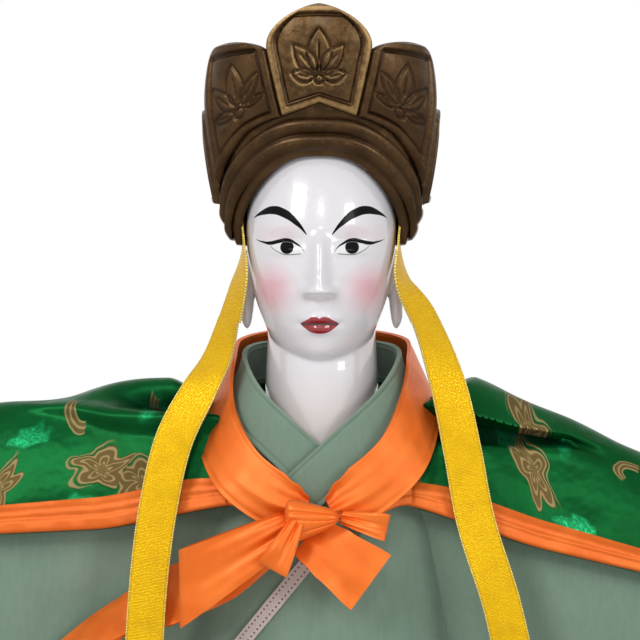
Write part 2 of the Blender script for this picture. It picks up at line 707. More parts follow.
front_leaf = dict(low=(-27, 27), high=(-37.2, 37.2), tip=head_height * 1.435, crest=0.4, blunt=0.75, notch=3)
next_leaf = dict(low=(27.2, 75.4), high=(33.6, 76), tip=head_height * 1.295, crest=0.15, blunt=0.5, notch=1)
side_leaf = dict(low=(76.2, 118), high=(76.2, 118), tip=head_height * 1.06, crest=0.24, blunt=0.6, notch=1)
leaf_panel("crown_leaf_front", "crown_petal_front", 1, **front_leaf)
for side_name, s in (("left", 1), ("right", -1)):
    leaf_panel(f"crown_leaf_next_{side_name}", f"crown_petal_front_{side_name}", s, **next_leaf)
    leaf_panel(f"crown_leaf_side_{side_name}", f"crown_petal_side_{side_name}", s, **side_leaf)

climb, bowl_u = crossed(np.linspace(0, 1, 44), circle(240, 1))
bowl_phi = 2 * np.pi * bowl_u
bowl_rise = climb * (wall_top_z(bowl_phi) - brim_z(bowl_phi))
flutes = 0.35 * np.abs(np.sin(13 * bowl_phi)) ** 0.6 * smooth(climb, 0.1, 0.3)
bowl = shell(
    "crown_bowl_moulded",
    crown_point(bowl_phi, bowl_rise, crown_wall),
    crown_point(bowl_phi, bowl_rise, 0),
    wrap=True,
)
dress(worn(bowl, 0.2 + flutes), bronze, "head", ["crown_bowl"])

roll_v, roll_u = crossed(circle(48, 1), circle(260, 1))
roll_climb = np.where(roll_v < 0.7, roll_v / 0.7, (1 - roll_v) / 0.3)
swell = np.abs(np.sin(2 * np.pi * roll_climb))
roll_out = np.where(roll_v < 0.7, 0.6 + (0.6 + np.cos(2 * np.pi * roll_u) ** 2) * swell**0.9, 0)
brim = solid(
    "crown_brim_rolls",
    crown_point(2 * np.pi * roll_u, crown_lip + roll_height * roll_climb, crown_wall + 2 * gap + roll_out),
    wrap_rows=True,
)
dress(worn(brim, np.where(roll_v < 0.7, 0.05 + 0.5 * swell**3, 0)), bronze, "head", ["crown_brim"])

cap_share = np.concatenate([np.linspace(0.01, 1, 48), np.linspace(1, 0.01, 56)])[:, None]
cap_top = np.concatenate([np.zeros(48), np.ones(56)])[:, None]
cap_phi = circle(240)[None, :]
cap_edge = crown_point(cap_phi, wall_top_z(cap_phi) - brim_z(cap_phi), 0)
cap_peak = chin_z + head_height * 1.12
petal_wave = np.abs(np.sin(6 * cap_phi)) * smooth(cap_share, 0.12, 0.5) * smooth(1.02 - cap_share, 0, 0.25)
button = 2.2 * (1 - smooth(cap_share, 0.07, 0.12))
cap_z = cap_peak + (cap_edge[..., 2] - cap_peak) * cap_share**2 + gap
cap_z = cap_z + cap_top * (crown_wall + 0.5 * petal_wave + button)
cap_y = head_y + (cap_edge[..., 1] - head_y) * cap_share
cap = solid("crown_cap_moulded", np.stack([cap_edge[..., 0] * cap_share, cap_y, cap_z], -1))
dress(worn(cap, cap_top * (0.2 + 0.4 * petal_wave)), bronze, "head", ["crown_cap"])


# Ribbons: two lengths of yellow satin ribbon with beaded edges, glued inside the crown's sides.
# They hang past the temples and over the cape's front. Each is made as two pieces that meet behind the jaw.
def spline(stations, t):
    """A centripetal Catmull-Rom curve through the stations, at shares t from 0 to 1."""
    p = np.asarray(stations, float)
    p = np.vstack([2 * p[0] - p[1], p, 2 * p[-1] - p[-2]])
    place = np.clip(t, 0, 1) * (len(p) - 3)
    k = np.minimum(place.astype(int), len(p) - 4)
    s = (place - k)[:, None]
    a, b, c, d = (p[k + i] for i in range(4))

    def root(m, n):
        """The square root of the distance between two stations, which keeps tight curves from looping."""
        return np.maximum(np.linalg.norm(n - m, axis=1, keepdims=True) ** 0.5, 1e-4)

    ab, bc, cd = root(a, b), root(b, c), root(c, d)
    start = ((b - a) / ab - (c - a) / (ab + bc) + (c - b) / bc) * bc
    end = ((c - b) / bc - (d - b) / (bc + cd) + (d - c) / cd) * bc
    turn_out, turn_in = s**3 - 2 * s**2 + s, s**3 - s**2
    return (2 * s**3 - 3 * s**2 + 1) * b + turn_out * start + (3 * s**2 - 2 * s**3) * c + turn_in * end


def band_frame(stations, t):
    """Place, way across, facing and width share at t, from stations of (place, facing, share)."""
    path = spline([k[0] for k in stations], t)
    along = np.gradient(path, axis=0)
    along /= np.linalg.norm(along, axis=1, keepdims=True)
    face = spline([k[1] for k in stations], t)
    face -= along * np.sum(face * along, axis=1, keepdims=True)
    face /= np.linalg.norm(face, axis=1, keepdims=True)
    shares = np.array([k[2] for k in stations], float)
    place = t * (len(shares) - 1)
    k = np.minimum(place.astype(int), len(shares) - 2)
    share = shares[k] + (shares[k + 1] - shares[k]) * smooth(place - k, 0, 1)
    return path, np.cross(along, face), face, share


def band(name, stations, width, thickness, t, columns, lift=lambda a, run: 0):
    """A flat band along stations; lift(across, along in mm) raises its face in mm."""
    path, across, face, share = band_frame(stations, t)
    a = np.linspace(-1, 1, columns)
    run = np.concatenate([[0], np.cumsum(np.linalg.norm(np.diff(path, axis=0), axis=1))])
    raised = (lift(a[None, :], run[:, None]) + np.zeros((len(t), columns)))[..., None]
    middle = path[:, None] + across[:, None] * (a[None, :, None] * width / 2 * share[:, None, None])
    outer = middle + face[:, None] * (raised + thickness / 2)
    inner = middle + face[:, None] * (raised - thickness / 2)
    places = np.stack(np.broadcast_arrays(a[None, :] * width / 2, run[:, None]), -1)
    return shell(name, outer, inner, places=places)


def ribs(value, pitch):
    """A sine wave that repeats every pitch mm."""
    return value.finish.math("SINE", value * (2 * math.pi / pitch))


ribbon_width, ribbon_thick, ribbon_meet_z = 11.5, 0.6, 234
yellow = Finish("yellow_satin", metallic=0.45, sheen_weight=0.08, sheen_roughness=0.35)
yellow.set("Specular IOR Level", 0.15)
yellow_uv = yellow.cloth()
yellow_u, yellow_v, _ = yellow.split(yellow_uv)
glint = yellow.noise(yellow_uv, 1.9, 2.0, 0.6)
cloud = yellow.noise(yellow_uv, 0.16, 3.0)
gold_cloth = yellow.mix(yellow.step(glint, 0.42, 0.66), (0.72, 0.40, 0.003), (0.92, 0.60, 0.008))
gold_cloth = yellow.mix(yellow.step(cloud, 0.4, 0.75, 0.0, 0.45), gold_cloth, (0.62, 0.34, 0.003))
from_edge = ribbon_width / 2 - abs(yellow_u)
beads = yellow.step(ribs(yellow_v, 0.8), -0.3, 0.5)
picot = yellow.step(from_edge, 0.5, 0.3) * beads
selvedge = between(from_edge, 0.42, 0.75, 0.08)
gold_cloth = yellow.mix(selvedge * 0.5, gold_cloth, (0.5, 0.27, 0.003))
yellow.set("Base Color", yellow.mix(picot, gold_cloth, (0.92, 0.84, 0.34)))
yellow.set("Roughness", yellow.step(glint, 0.35, 0.65, 0.55, 0.26))
yellow.bump((ribs(yellow_v, 0.45), 0.025), (glint, 0.09), (picot, 0.3))

left_ribbon = [
    ((23.8, -7.5, 265), (1, 0, 0), 0.5),
    ((23.6, -9.4, 257), (1, -0.1, 0), 0.75),
    ((25, -12, 246), (1, -0.5, 0.1), 0.9),
    ((31, -13, 235), (0.75, -0.8, 0.1), 1),
    ((38, -20, 216), (0.4, -1, 0.1), 1),
    ((42.5, -25, 195), (0.1, -1, 0), 1),
    ((46.5, -27, 174), (0, -1, 0), 1),
    ((54.5, -27, 148), (0.1, -1, 0), 1),
    ((60.5, -26, 116), (-0.1, -1, 0), 1),
    ((62, -26, 74), (0.1, -1, 0), 1),
]
right_ribbon = left_ribbon[:3] + [
    ((30.5, -13, 225), (0.7, -0.8, 0.1), 1),
    ((36.5, -19.5, 213), (0.4, -1, 0.1), 1),
    ((43.5, -25, 198), (0.1, -1, 0), 1),
    ((48, -27.5, 178), (0, -1, 0), 1),
    ((51, -27, 154), (0.05, -1, 0), 1),
    ((53, -26.5, 118), (0.1, -1, 0), 1),
    ((53.5, -26.5, 74), (-0.1, -1, 0), 1),
]
for side_name, s, stations in (("left", 1, left_ribbon), ("right", -1, right_ribbon)):
    stations = [((s * p[0], p[1], p[2]), (s * n[0], n[1], n[2]), w) for p, n, w in stations]
    fine = np.linspace(0, 1, 1201)
    meet = fine[np.argmin(np.abs(spline([k[0] for k in stations], fine)[:, 2] - ribbon_meet_z))]

    def ribbon_lift(a, run, s=s):
        """Soft buckles across the ribbon and a slight cup along it."""
        buckle = np.sin(run / 9.5 + s) * np.sin(run / 23 + 2 * s) * (0.35 + 0.25 * a * s)
        return buckle + 0.18 * (1 - a**2) * np.sin(run / 31)

    for part, t, bodies, bend, long, under in (
        ("upper", np.linspace(0, meet, 80), ("neck", "head"), (0.235, 0.258), 0.031, "crown_bowl_moulded"),
        (
            "lower",
            np.linspace(meet, 1, 300),
            ("torso", "neck"),
            (0.200, 0.233),
            0.176,
            f"cape_{side_name}_panel",
        ),
    ):
        name = f"ribbon_{side_name}_{part}"
        ribbon = band(name, stations, ribbon_width, ribbon_thick, t, 25, ribbon_lift)
        dress(ribbon, yellow, nodes=[f"crown_ribbon_{side_name}"])
        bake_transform(ribbon)


# Neck binding: a waxed cord of three strands, tied tightly in the neck's groove over the glove's neck sleeve.
# It holds the head on the glove.
cord_thick, neck_cloth, strands, turns = 2.2, 0.6, 3, 14
cord_ring = neck_radius - 2.5 + gap + neck_cloth + gap + cord_thick / 2
run, round_ = crossed(circle(540), circle(24))
strand = np.abs(np.cos(strands / 2 * (round_ - turns * run)))
radius = cord_thick / 2 * (0.74 + 0.26 * strand)
reach = cord_ring + radius * np.cos(round_)
cord_points = np.stack([reach * np.cos(run), reach * np.sin(run), cord_z - radius * np.sin(round_)], -1)
neck_cord = solid("neck_cord_twisted", cord_points, wrap_rows=True)
thread = Finish("waxed_thread", roughness=0.6, sheen_weight=0.2)
thread_spot = thread.place()
fibre = thread.noise(thread_spot, 2.2, 4.0)
thread.set("Base Color", thread.mix(fibre, (0.42, 0.31, 0.16), (0.60, 0.48, 0.28)))
thread.bump((fibre, 0.08))
dress(neck_cord, thread, "neck", ["neck_cord"])


# Glove: plain white cotton. Its neck sleeve dips into the groove under the cord, its body opens downwards for
# the operator's hand, and a sewn hem goes round the mouth. Two cloth arms are sewn into its sides.
def plain_weave(finish, cloth, pitch):
    """The height of a plain weave, 0 to 1: a sine across times a sine along, both of that pitch in mm."""
    u, v, _ = finish.split(cloth)
    return finish.step(ribs(u, pitch) * ribs(v, pitch), -1.0, 1.0)


cotton = Finish("white_cotton", roughness=0.88, sheen_weight=0.25, sheen_roughness=0.5)
weave = plain_weave(cotton, cotton.cloth(), 0.55)
cotton_spot = cotton.place()
handled = cotton.noise(cotton_spot, 0.035, 4.0)
slub = cotton.noise(cotton_spot, 0.9, 3.0)
linen = cotton.mix(cotton.step(handled, 0.42, 0.72), (0.74, 0.71, 0.65), (0.60, 0.55, 0.46))
cotton.set("Base Color", cotton.mix(weave * 0.22, linen, (0.42, 0.39, 0.33)))
cotton.bump((weave, 0.06), (slub, 0.05), (cotton.noise(cotton_spot, 0.12, 3.0), 0.5))

glove_height, glove_wall = 178, 1
wood, groove = neck_radius + 0.3 + gap, neck_radius - 2.5 + gap
sleeve_low, sleeve_high = cord_z - 2.5 + gap, cord_z + 2.5 - gap
neck_line = [
    (wood + 1.6, glove_height + 1.4),
    (wood, neck_foot_z + 0.5),
    (wood, sleeve_low - 0.3),
    (groove + 0.3, sleeve_low + 0.2),
    (groove, sleeve_low + 0.8),
    (groove, sleeve_high - 0.8),
    (groove + 0.3, sleeve_high - 0.2),
    (wood, sleeve_high + 0.3),
    (wood, sleeve_high + 3),
]
neck_t = np.linspace(0, 1, 64)
knots = np.linspace(0, 1, len(neck_line))
neck_path = np.stack([np.interp(neck_t, knots, [k[i] for k in neck_line]) for i in (0, 1)], -1)
neck_phi = circle(180)[None, :]


def neck_skin(out):
    """The sleeve at a distance out of the wood, gathered into small pleats away from the cord."""
    loose = np.clip(np.abs(neck_path[:, 1] - cord_z) / 8, 0, 1)[:, None]
    radius = neck_path[:, :1] + out + 0.28 * loose * (1 + np.sin(34 * neck_phi + 0.6 * np.sin(5 * neck_phi)))
    height = neck_path[:, 1:] + 0 * neck_phi
    return np.stack([radius * np.cos(neck_phi), radius * np.sin(neck_phi), height], -1)


glove_neck = shell("glove_neck_sleeve", neck_skin(neck_cloth), neck_skin(0), wrap=True)
dress(glove_neck, cotton, nodes=["glove_neck"])
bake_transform(glove_neck)


def body_tube(low, chest_z, hem, chest, neck_size, hump, rise, shoulder_share, waves):
    """A body of cloth as a function of u round it from the front and v from hem to neck.

    Below the chest it draws in as 1 - (1 - share)^2.2; above it the shoulders hump over the arms. hem, chest
    and neck_size are half widths and depths, and rise is how far the neck stands over the chest in front, at
    the sides and behind."""

    def surface(u, v):
        """The body's point at u and v."""
        phi = 2 * np.pi * u
        side_on, front_on = np.sin(phi), np.cos(phi)
        climb = 1 - shoulder_share
        share = np.clip(v / climb, 0, 1)
        ease = 1 - (1 - share) ** 2.2
        wave = 1 + waves(phi, share)
        s = np.clip((v - climb) / shoulder_share, 0, 1)
        half_now = (hem[0] + (chest[0] - hem[0]) * ease) * wave + (neck_size[0] - chest[0]) * s
        deep_now = (hem[1] + (chest[1] - hem[1]) * ease) * wave + (neck_size[1] - chest[1]) * s
        end = np.where(front_on < 0, rise[2], rise[0])
        lift_now = (end + (rise[1] - end) * side_on**2) * s
        bulge = hump * side_on**2 * np.maximum(0, np.sin(np.pi * s)) ** 0.9
        height = low + (chest_z - low) * share + lift_now + bulge
        return np.stack([half_now * side_on, -deep_now * front_on, height], -1)

    return surface


def sheet_grid(surface, u_count, v_count, v_high=1.0):
    """Points of surface(u, v) on an even grid that closes round the body, row by row."""
    v, u = crossed(np.linspace(0.0, v_high, v_count), circle(u_count, 1))
    return surface(u, v)


def thicken(name, points, wall, wrap=False):
    """Cloth from a grid of points, given half its wall on each side along its normals."""
    normal = normals(points, wrap)
    return shell(name, points + normal * (wall / 2), points + normal * (-wall / 2), wrap)


shoulder_x, shoulder_z, arm_radius, arm_wall = 30, glove_height + 12, 9.5, 0.9
drops = {"left": math.radians(17), "right": math.radians(5)}
signs = {"left": 1, "right": -1}


def along_arm(side, points):
    """Points given along, across and up in the arm's own frame, turned into the puppet's."""
    drop, s = drops[side], signs[side]
    x, y, z = points[..., 0], points[..., 1], points[..., 2]
    across = s * (shoulder_x + x * math.cos(drop) + z * math.sin(drop))
    return np.stack([across, y, shoulder_z - x * math.sin(drop) + z * math.cos(drop)], -1)


def arm_drill(side):
    """A round bar along the arm, just wider than it, that cuts the arm's hole in a body of cloth."""
    phi = circle(72)
    along, radius = np.array([[-33.0], [47.0]]), arm_radius + 2 * gap
    points = np.stack(np.broadcast_arrays(along, radius * np.cos(phi), radius * np.sin(phi)), -1)
    points = along_arm(side, points)
    return solid("drill", points if signs[side] > 0 else points[:, ::-1])


def glove_waves(phi, share):
    """Nine folds that fade from the hem upwards, and five fainter ones that lean."""
    return (1 - smooth(share, 0.1, 0.9)) * 0.012 * np.cos(9 * phi) + 0.004 * np.sin(5 * phi + 7 * share)


glove_surface = body_tube(
    low=0,
    chest_z=glove_height - 8,
    hem=(36, 24),
    chest=(33, 20.5),
    neck_size=(neck_radius + 3.4, neck_radius + 3.4),
    hump=28,
    rise=(8, 8, 8),
    shoulder_share=0.5,
    waves=glove_waves,
)
glove = thicken("glove_body_cloth", sheet_grid(glove_surface, 110, 80), glove_wall, wrap=True)
for side in signs:
    cut(glove, arm_drill(side))
dress(glove, cotton, "torso", ["glove_body"])

hem_grid = sheet_grid(glove_surface, 240, 16, v_high=0.025)
hem_bulge = 0.18 * np.abs(np.sin(np.linspace(0, np.pi, 16)))[:, None, None]
hem_normal = normals(hem_grid, wrap=True)
hem_under = glove_wall / 2 + gap
hem_over = hem_grid + hem_normal * (hem_under + 0.9 + hem_bulge)
hem = shell("glove_hem_sewn", hem_over, hem_grid + hem_normal * hem_under, wrap=True)
dress(hem, cotton, "torso", ["glove_hem"])

arm_start, arm_middle, arm_end = 6, 42.5, 72
for side, s in signs.items():
    for part, start, end, bodies, bend in (
        ("upper", arm_start, arm_middle, ("torso", f"arm_{side}"), (4, 18)),
        ("lower", arm_middle, arm_end, (f"arm_{side}", f"hand_{side}"), (45, 60)),
    ):
        run, round_ = crossed(np.linspace(start, end, 44), circle(64))
        crease = 0.16 * np.sin(run / 1.9 + 1.3 * np.sin(round_)) * bell(run, arm_middle, 14)
        radius = arm_radius - arm_wall / 2 + crease
        points = along_arm(side, np.stack([run, radius * np.cos(round_), radius * np.sin(round_)], -1))
        name = f"glove_arm_{side}_{part}"
        arm = thicken(name, points if s > 0 else points[:, ::-1], arm_wall, wrap=True)
        dress(arm, cotton, nodes=[f"glove_arm_{side}"])
        ends = [tuple(float(c) * 0.001 for c in along_arm(side, np.array([k, 0.0, 0.0]))) for k in bend]
        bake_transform(arm)
        (end - start) * 0.00105


# Hands: carved wood under the same white lacquer as the head. Each is plugged into its cloth arm.
# Its wrist has a hole for the tip of the operator's thumb or middle finger.
lacquer = Finish("hand_lacquer", roughness=0.2, coat_weight=1.0, coat_roughness=0.03)
hand_spot = lacquer.place()
hand_fog = lacquer.noise(hand_spot, 0.08, 3.0)
hand_white = lacquer.mix(lacquer.step(hand_fog, 0.35, 0.7), (0.80, 0.775, 0.79), (0.75, 0.715, 0.72))
lacquer.set("Base Color", hand_white)
lacquer.set("Roughness", lacquer.step(lacquer.noise(hand_spot, 1.6, 2.0), 0.3, 0.7, 0.16, 0.28))
lacquer.bump((hand_fog, 0.4), (lacquer.noise(hand_spot, 0.5, 2.0), 0.03))
for side in signs:
    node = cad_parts[f"hand_{side}"]
    hand = bpy.data.objects.new(f"hand_{side}_carved", node.data.copy())
    scene.collection.objects.link(hand)
    hand.data.transform(node.matrix_world)
    settled(
        hand,
        WELD={"merge_threshold": 0.00002},
        REMESH={"mode": "VOXEL", "voxel_size": 0.0006},
        SMOOTH={"factor": 0.5, "iterations": 5},
    )
    dress(hand, lacquer, f"hand_{side}", [f"hand_{side}"])


# Robe: fine grey-green cotton, cut wide and hung from the neck over the glove. Two wide sleeves are sewn into
# its sides, each made as an inner and an outer piece, and two folded collar bands cross on the chest.
sage = Finish("sage_cotton", roughness=0.82, sheen_weight=0.3, sheen_roughness=0.45)
sage_weave = plain_weave(sage, sage.cloth(), 0.42)
sage_spot = sage.place()
yarn = sage.noise(sage.stretched(sage_spot, 1.0, 1.0, 0.12), 0.9, 3.0)
shade = sage.noise(sage_spot, 0.03, 3.0)
green_grey = sage.mix(sage.step(shade, 0.35, 0.7), (0.178, 0.274, 0.200), (0.216, 0.312, 0.232))
green_grey = sage.mix(sage.step(yarn, 0.35, 0.7, 0.0, 0.22), green_grey, (0.26, 0.36, 0.28))
sage.set("Base Color", sage.mix(sage_weave * 0.14, green_grey, (0.09, 0.145, 0.105)))
sage.bump((sage_weave, 0.035), (yarn, 0.03), (sage.noise(sage_spot, 0.10, 3.0, 0.45), 0.7))

robe_wall, robe_skirt, robe_chest = 1.2, 55, glove_height - 10
robe_half, robe_depth, hem_half, hem_depth = 37.5, 24.3, 60, 40


def robe_waves(phi, share):
    """Nine soft folds at the hem, crossed by smaller ones, all fading towards the chest."""
    big = 0.055 * (1 - smooth(share, 0, 0.75)) * np.cos(9 * phi)
    small = 0.010 * (1 - smooth(share, 0.2, 1)) * np.sin(23 * phi + 3 * share)
    return big + small + 0.006 * np.sin(4 * phi + 9 * share) * smooth(share, 0.1, 0.4)


robe_surface = body_tube(
    low=-robe_skirt,
    chest_z=robe_chest,
    hem=(hem_half, hem_depth),
    chest=(robe_half, robe_depth),
    neck_size=(neck_radius + 4.5, neck_radius + 3.9),
    hump=24.5,
    rise=(15, 30, 31),
    shoulder_share=0.4,
    waves=robe_waves,
)
robe = thicken("robe_body_cloth", sheet_grid(robe_surface, 230, 140), robe_wall, wrap=True)
for side in signs:
    cut(robe, arm_drill(side))
dress(robe, sage, "torso", ["robe_body"])

sleeve_wall, sleeve_deep, sleeve_length, sleeve_middle = 1, 20, 92, 70
hang_inside, hang_outside = 62, 92
sleeve_x0 = robe_half + robe_wall / 2 + gap + 0.8
sleeve_x1 = sleeve_x0 + sleeve_length


def arm_z(side, x):
    """Height of the arm's middle line at x, as it slopes down from the shoulder."""
    return shoulder_z - math.tan(drops[side]) * (x - shoulder_x)


for side, s in signs.items():

    def sleeve_surface(u, x, side=side, s=s):
        """A flattened loop hung from the arm: u runs round it from the top, x outwards."""
        v = (x - sleeve_x0) / sleeve_length
        theta = 2 * np.pi * u
        top = arm_z(side, x) + arm_radius + 2.8
        fold = (shoulder_z - hang_inside) * (1 - v) + (arm_z(side, sleeve_x1) - hang_outside) * v
        bottom = fold - 3 * np.cos(3 * np.pi * v)
        tall = (top - bottom) / 2
        down = smooth(-np.cos(theta), -0.6, 1)
        flat = sleeve_deep * np.sin(theta) * (0.57 + 0.43 * np.cos(theta))
        sway = 1.6 * np.sin(7 * v + 1) * smooth(-np.cos(theta), -0.2, 1)
        ripple = 1.3 * np.sin(x / 7.2 + 0.9 * s + 0.5 * np.sin(x / 13)) + 0.35 * np.sin(x / 3.1)
        drape = down * ripple * (1 - 0.4 * down)
        return np.stack([s * x, flat + sway + drape, bottom + tall + tall * np.cos(theta)], -1)

    wrist_bend = [shoulder_x + k * math.cos(drops[side]) for k in (44, 61)]
    for part, start, end, bodies, bend, long in (
        ("inner", shoulder_x, sleeve_middle, ("torso", f"arm_{side}"), (38, 68), 0.18),
        ("outer", sleeve_middle, sleeve_x1, (f"arm_{side}", f"hand_{side}"), wrist_bend, 0.205),
    ):
        count = int((end - start) * 1.2)
        x, u = crossed(np.linspace(start, end, count), circle(168, 1))
        points = sleeve_surface(u, x)
        name = f"robe_sleeve_{side}_{part}"
        sleeve = thicken(name, points if s < 0 else points[:, ::-1], sleeve_wall, wrap=True)
        dress(sleeve, sage, nodes=[f"robe_sleeve_{side}"])
        ends = [(s * k * 0.001, 0, float(arm_z(side, k)) * 0.001) for k in bend]
        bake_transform(sleeve)
        (end - start) * 0.00106

collar_out = neck_radius - 17.7
collar_width, collar_thick = 13.5, 1.4
for side, s in signs.items():
    front_y = -2.3 if s > 0 else 0
    stations = [
        ((s * 1, 26.6 + collar_out, 223.4), (0, 1, 0.3), 1),
        ((s * (13 + collar_out), 22.5 + collar_out, 221.5), (s * 0.5, 0.85, 0.3), 1),
        ((s * (23.5 + collar_out), 9, 219.5), (s, 0.25, 0.3), 1),
        ((s * (25.5 + collar_out), -4, 216), (s, -0.3, 0.35), 1),
        ((s * (21.5 + collar_out), -17, 208), (s * 0.6, -0.8, 0.3), 1),
        ((s * 7, -24.2 - collar_out + front_y, 194), (s * 0.15, -1, 0.15), 1),
        ((-s * 8, -25.6 - collar_out + front_y, 180), (0, -1, 0.05), 1),
        ((-s * 15, -26.4 - collar_out + front_y, 173), (0, -1, 0), 1),
    ]

    def collar_lift(a, run):
        """Rounded folds along both edges, a pressed crease inside them, and slight ripples."""
        edge = 1 - np.abs(a)
        return 0.25 * bell(edge, 0.06, 0.07) - 0.28 * bell(edge, 0.21, 0.05) + 0.12 * np.sin(run / 7 + 2 * a)

    name, t = f"robe_collar_{side}_sewn", np.linspace(0, 1, 200)
    collar = band(name, stations, collar_width, collar_thick, t, 45, collar_lift)
    dress(collar, sage, "torso", [f"robe_collar_{side}"])


# Tape: a pale woven tape with two rows of dark dots. It is sewn flat on the robe's front.
# It slants down from under the bow towards the puppet's right side.
tape_cloth = Finish("woven_tape", roughness=0.75)
tape_u, tape_v, _ = tape_cloth.split(tape_cloth.cloth())
dot_v = abs(tape_cloth.math("FRACT", tape_v / 1.5) - 0.5)
dot_u = abs(abs(tape_u) - 1.15)
dots = tape_cloth.step(hypot(dot_v * 1.5, dot_u), 0.34, 0.2)
tape_grain = tape_cloth.noise(tape_cloth.place(), 1.4, 3.0)
pale = tape_cloth.mix(tape_grain, (0.62, 0.50, 0.46), (0.76, 0.66, 0.61))
tape_cloth.set("Base Color", tape_cloth.mix(dots, pale, (0.10, 0.06, 0.055)))
tape_cloth.bump((ribs(tape_v, 0.5), 0.04), (dots, 0.1))


def robe_front(x, z, out):
    """The front of the robe at a place: its oval without folds, a distance out of its skin."""
    share = 1 - (1 - np.clip((z + robe_skirt) / (robe_chest + robe_skirt), 0, 1)) ** 2.2
    half_now = hem_half + (robe_half - hem_half) * share
    deep_now = hem_depth + (robe_depth - hem_depth) * share
    return -deep_now * math.sqrt(max(0, 1 - (x / half_now) ** 2)) - out


tape_stations = []
for k in range(6):
    x, z = -3 - 6 * k, glove_height - 15.5 - 7.4 * k
    slope = (robe_front(x - 1, z, 0) - robe_front(x + 1, z, 0)) / 2
    tape_stations.append(((x, robe_front(x, z, robe_wall / 2 + gap + 0.6), z), (-slope, -1, 0), 1))
tape = band("robe_tape_woven", tape_stations, 4.5, 0.6, np.linspace(0, 1, 120), 17)
dress(tape, tape_cloth, "torso", ["robe_tape"])


# Cape: green satin brocade with gold-brown clouds and glossy woven leaves, gathered at the neck. It arches
# over both arms and hangs behind, in two panels sewn down the back, and has orange satin bindings all round.
cape_wall, cape_span, cape_tail, neck_half = 0.9, 112, 20, robe_half - 1.5
neck_front_y, neck_front_z = -(robe_depth - 3.3), glove_height - 5.5
nape_y, nape_z = robe_depth + 9.2, glove_height + 39
ridge_x, ridge_y = neck_half + 11, -2
neck_share, top_share = 1 - 2 / 3, 0.5
ridge_fall = {"left": 0.43, "right": 0.13}
edge_fall = {"left": 0.235, "right": 0.05}


def cape_arch(side, x, y):
    """Height of the cape over an arm: a ridge that curves down to the front edge and to the back."""
    top = glove_height + 29.5 + 7 * smooth(x, neck_half - 1, ridge_x)
    top = top - ridge_fall[side] * np.maximum(0, x - ridge_x)
    edge_z = neck_front_z - edge_fall[side] * (x - neck_half)
    share = np.clip((ridge_y - y) / (ridge_y - neck_front_y), 0, None)
    return np.where(y < ridge_y, top - (top - edge_z) * share**2.2, top - 19.5 * ((y - ridge_y) / 33) ** 2)


def cape_surface(side, u, v):
    """A point of the cape: u runs from the middle of the back to the tip, v from the front edge to the hem.

    Up to neck_share u goes round the neck, and up to top_share v goes over the arm."""
    theta = np.minimum(u / neck_share, 1) * np.pi / 2
    beyond = np.maximum(0, u - neck_share) / (1 - neck_share)
    x = neck_half * np.sin(theta) + (cape_span - neck_half) * beyond
    edge = np.maximum(x, neck_half)
    lean = np.maximum(np.cos(theta), 0)
    start_y = neck_front_y + (nape_y - neck_front_y) * lean
    start_z = neck_front_z + (nape_z - neck_front_z) * lean**0.4
    behind = lean**1.5
    far_y = robe_depth + 6.7 - 4 * smooth(x, cape_span / 2, cape_span)
    back_y = far_y + 6 * behind
    back_z = cape_arch(side, edge, far_y) + 17 * behind
    w = np.clip(v / top_share, 0, 1) ** 2.1
    y = start_y + (back_y - start_y) * w
    lift_now = np.where(beyond > 0, 0, start_z - cape_arch(side, edge, start_y))
    settle = back_z - cape_arch(side, edge, back_y)
    z = cape_arch(side, edge, y) + lift_now * (1 - w) + settle * w
    w_back = 1 - ((1 - np.maximum(v, top_share)) / (1 - top_share)) ** 1.9
    fold = 2.6 * smooth(w_back, 0, 0.8) * np.cos(2 * np.pi * x / 30)
    hanging = v > top_share
    y = np.where(hanging, back_y + (48 - back_y) * w_back**0.8 + fold, y)
    z = np.where(hanging, back_z + (-cape_tail - back_z) * w_back, z)
    return np.stack([signs[side] * x, y, z], -1)


pleat_line = {
    "left": ((36, 204.5), (48, 204), (54, 203.6), (65, 201.4), (75, 198.5), (88, 192.8), (112, 182)),
    "right": ((36, 198), (46.5, 201), (62.7, 204.6), (78, 208), (96, 207.5), (112, 205)),
}
pleat_zone, pleat_turn, pleat_lift = 8.0, 6.0, 3.3


def pleat_depth(x):
    """How far the left side's lapped pleat is laid over: full at the neck, none towards the tip."""
    return smooth(x, 30, 40) * (1 - smooth(x, 52, 94)) ** 0.8


